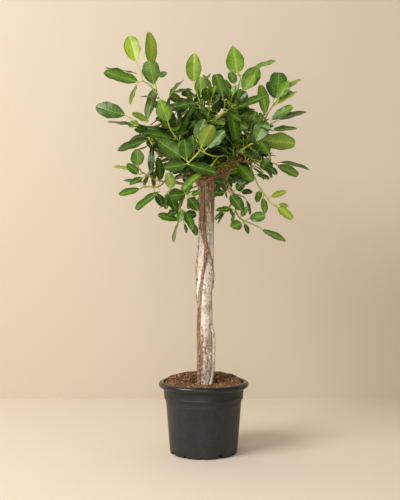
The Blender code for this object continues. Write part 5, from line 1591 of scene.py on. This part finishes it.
def small_leaf(stem, part, bearing, dice):
    """A small leaf part of the way along a twig, at a bearing round it."""
    foot, way, _ = stalk_start(stem, part, TWIG_FIRST, bearing, TWIG_SPREAD)
    base = foot + way * dice.uniform(*SMALL_STALKS)
    axis = (way + Vector((0, 0, dice.uniform(-0.45, 0.10)))).normalized()
    length = dice.uniform(*SMALL_LEAF)
    sky = Vector((dice.gauss(0, 0.5), dice.gauss(0, 0.5), 1.0))
    upper = (sky - axis * sky.dot(axis)).normalized()
    return towards_light((foot, base, base + axis * length, length * dice.uniform(*SMALL_WIDTH), upper))


def inner_twig(target, limb_places, others, dice):
    """A twig from the nearest limb to a target, with the leaves that find room, or None if it can't grow."""
    shortest, longest = TWIG_LENGTHS
    start, radius = min(limb_places, key=lambda spot: (spot[0] - target).length)
    way = target - start
    if way.length < shortest:
        return None
    if way.length > longest:
        start = target - way.normalized() * longest
        start, radius = min(limb_places, key=lambda spot: (spot[0] - start).length)
        way = target - start
    root = start + way.normalized() * radius * 0.7
    bow = Vector((dice.uniform(-1, 1), dice.uniform(-1, 1), dice.uniform(-0.2, 1.2))) * 0.012
    stem = [root, root.lerp(target, 0.12), root.lerp(target, 0.55) + bow, target]
    if not free_of(stem_shape(stem[1:]), others):
        return None
    count = TWIG_LEAVES + int(way.length / LEAF_EVERY)
    leaves = []
    for index in range(count):
        for swing in TWIG_SWINGS:
            leaf = small_leaf(stem, index / (count - 1), index * GOLDEN_ANGLE + math.radians(swing), dice)
            shape = leaf_shape(leaf)
            if free_of(shape, others):
                leaves.append(leaf)
                others.append(shape)
                break
    if len(leaves) < 2:
        return None
    others.append(stem_shape(stem[1:]))
    return stem, leaves, [(dice.choice(SMALL_AGES_AND_SHADE),) for _ in leaves]


dice = random.Random(5)
crowded = [leaf_shape(leaf) for _, _, leaves, _ in shoots for leaf in leaves if leaf]
crowded += [stem_shape(stem[1:]) for _, stem, _, _ in shoots] + [open_views()]
twigs = []
limb_places = limb_line()
for _ in range(TWIGS * 5):
    inside = Vector((dice.gauss(0, 0.5), dice.gauss(0, 0.5), dice.gauss(0, 0.5)))
    if inside.length > 1.0 or len(twigs) == TWIGS:
        continue
    target = CROWN_MIDDLE + Vector([a * b for a, b in zip(inside, CROWN_REACH)])
    twig = inner_twig(target, limb_places, crowded, dice)
    if twig:
        twigs.append(twig)
twigs.sort(key=lambda twig: (twig[0][-1].z, twig[0][-1].x))
for group in range(TWIG_GROUPS):
    held = twigs[group * len(twigs) // TWIG_GROUPS:(group + 1) * len(twigs) // TWIG_GROUPS]
    bunch = leafy_shoot(f"inner_twigs_{group + 1:02d}", held, 100 + group, small=True)
    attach(bunch, "root")


# ---- Room -----------------------------------------------------------------------------------------------
# A plain pale floor and wall, both matt. Soft daylight comes from the left and the front, a little more all
# round, and the camera stands at the height of the stem.

ROOM_REACH = 6.0             # how far the floor and the wall reach to each side
WALL_BEHIND = 1.0
WALL_HEIGHT = 5.0
SKY_LEVEL = 0.36             # strength of the light from all round


def flat_sheet(name, corners, colour):
    """A flat sheet of the room with one matt colour. Its back is clear to the camera, so that the plant also
    shows in a view from behind the sheet, while light and shadow stay the same in every view."""
    sheet = mesh_piece(name, corners, [(0, 1, 2, 3)])
    paint = new_material(name + "_paint")
    matt = add(paint, "BsdfPrincipled", {"Base Color": linear(colour), "Roughness": 0.9})
    back = add(paint, "NewGeometry").outputs["Backfacing"]
    seen = add(paint, "LightPath").outputs["Is Camera Ray"]
    clear = add(paint, "Math", (back, seen), operation="MULTIPLY")
    finish_with(paint, add(paint, "MixShader", (clear, matt, add(paint, "BsdfTransparent"))))
    sheet.data.materials.append(paint)
    return sheet


floor = flat_sheet("floor", [(-ROOM_REACH, -ROOM_REACH, 0), (ROOM_REACH, -ROOM_REACH, 0),
                             (ROOM_REACH, ROOM_REACH, 0), (-ROOM_REACH, ROOM_REACH, 0)], "#e7dac6")
wall = flat_sheet("wall", [(-ROOM_REACH, WALL_BEHIND, 0), (ROOM_REACH, WALL_BEHIND, 0),
                           (ROOM_REACH, WALL_BEHIND, WALL_HEIGHT),
                           (-ROOM_REACH, WALL_BEHIND, WALL_HEIGHT)], "#d3c5b1")


def soft_lamp(name, place, target, size, watts, colour):
    """A square studio lamp at a place, turned towards a target."""
    lamp = bpy.data.lights.new(name, "AREA")
    lamp.size = size
    lamp.energy = watts
    lamp.color = linear(colour)[:3]
    held = bpy.data.objects.new(name, lamp)
    bpy.context.scene.collection.objects.link(held)
    held.location = place
    held.rotation_euler = (Vector(target) - Vector(place)).to_track_quat("-Z", "Y").to_euler()


soft_lamp("window_side", (-3.5, -2.7, 3.4), (0.1, 0.1, 0.8), 2.6, 238, "#fffdf9")
soft_lamp("front_fill", (-0.2, -3.5, 1.3), (0.0, 0.0, 0.8), 2.2, 36, "#fffbf7")
world = bpy.data.worlds.new("room")
world.use_nodes = True
sky = world.node_tree.nodes["Background"].inputs
sky["Color"].default_value = linear("#fdfbff")
sky["Strength"].default_value = SKY_LEVEL
bpy.context.scene.world = world

camera = bpy.data.cameras.new("camera")
camera.sensor_width = 36.0
camera.lens = 52.36
held = bpy.data.objects.new("camera", camera)
held.location = EYE
held.rotation_euler = (math.radians(91.15), 0, 0)
bpy.context.scene.collection.objects.link(held)
bpy.context.scene.camera = held
bpy.context.scene.view_settings.view_transform = "Standard"
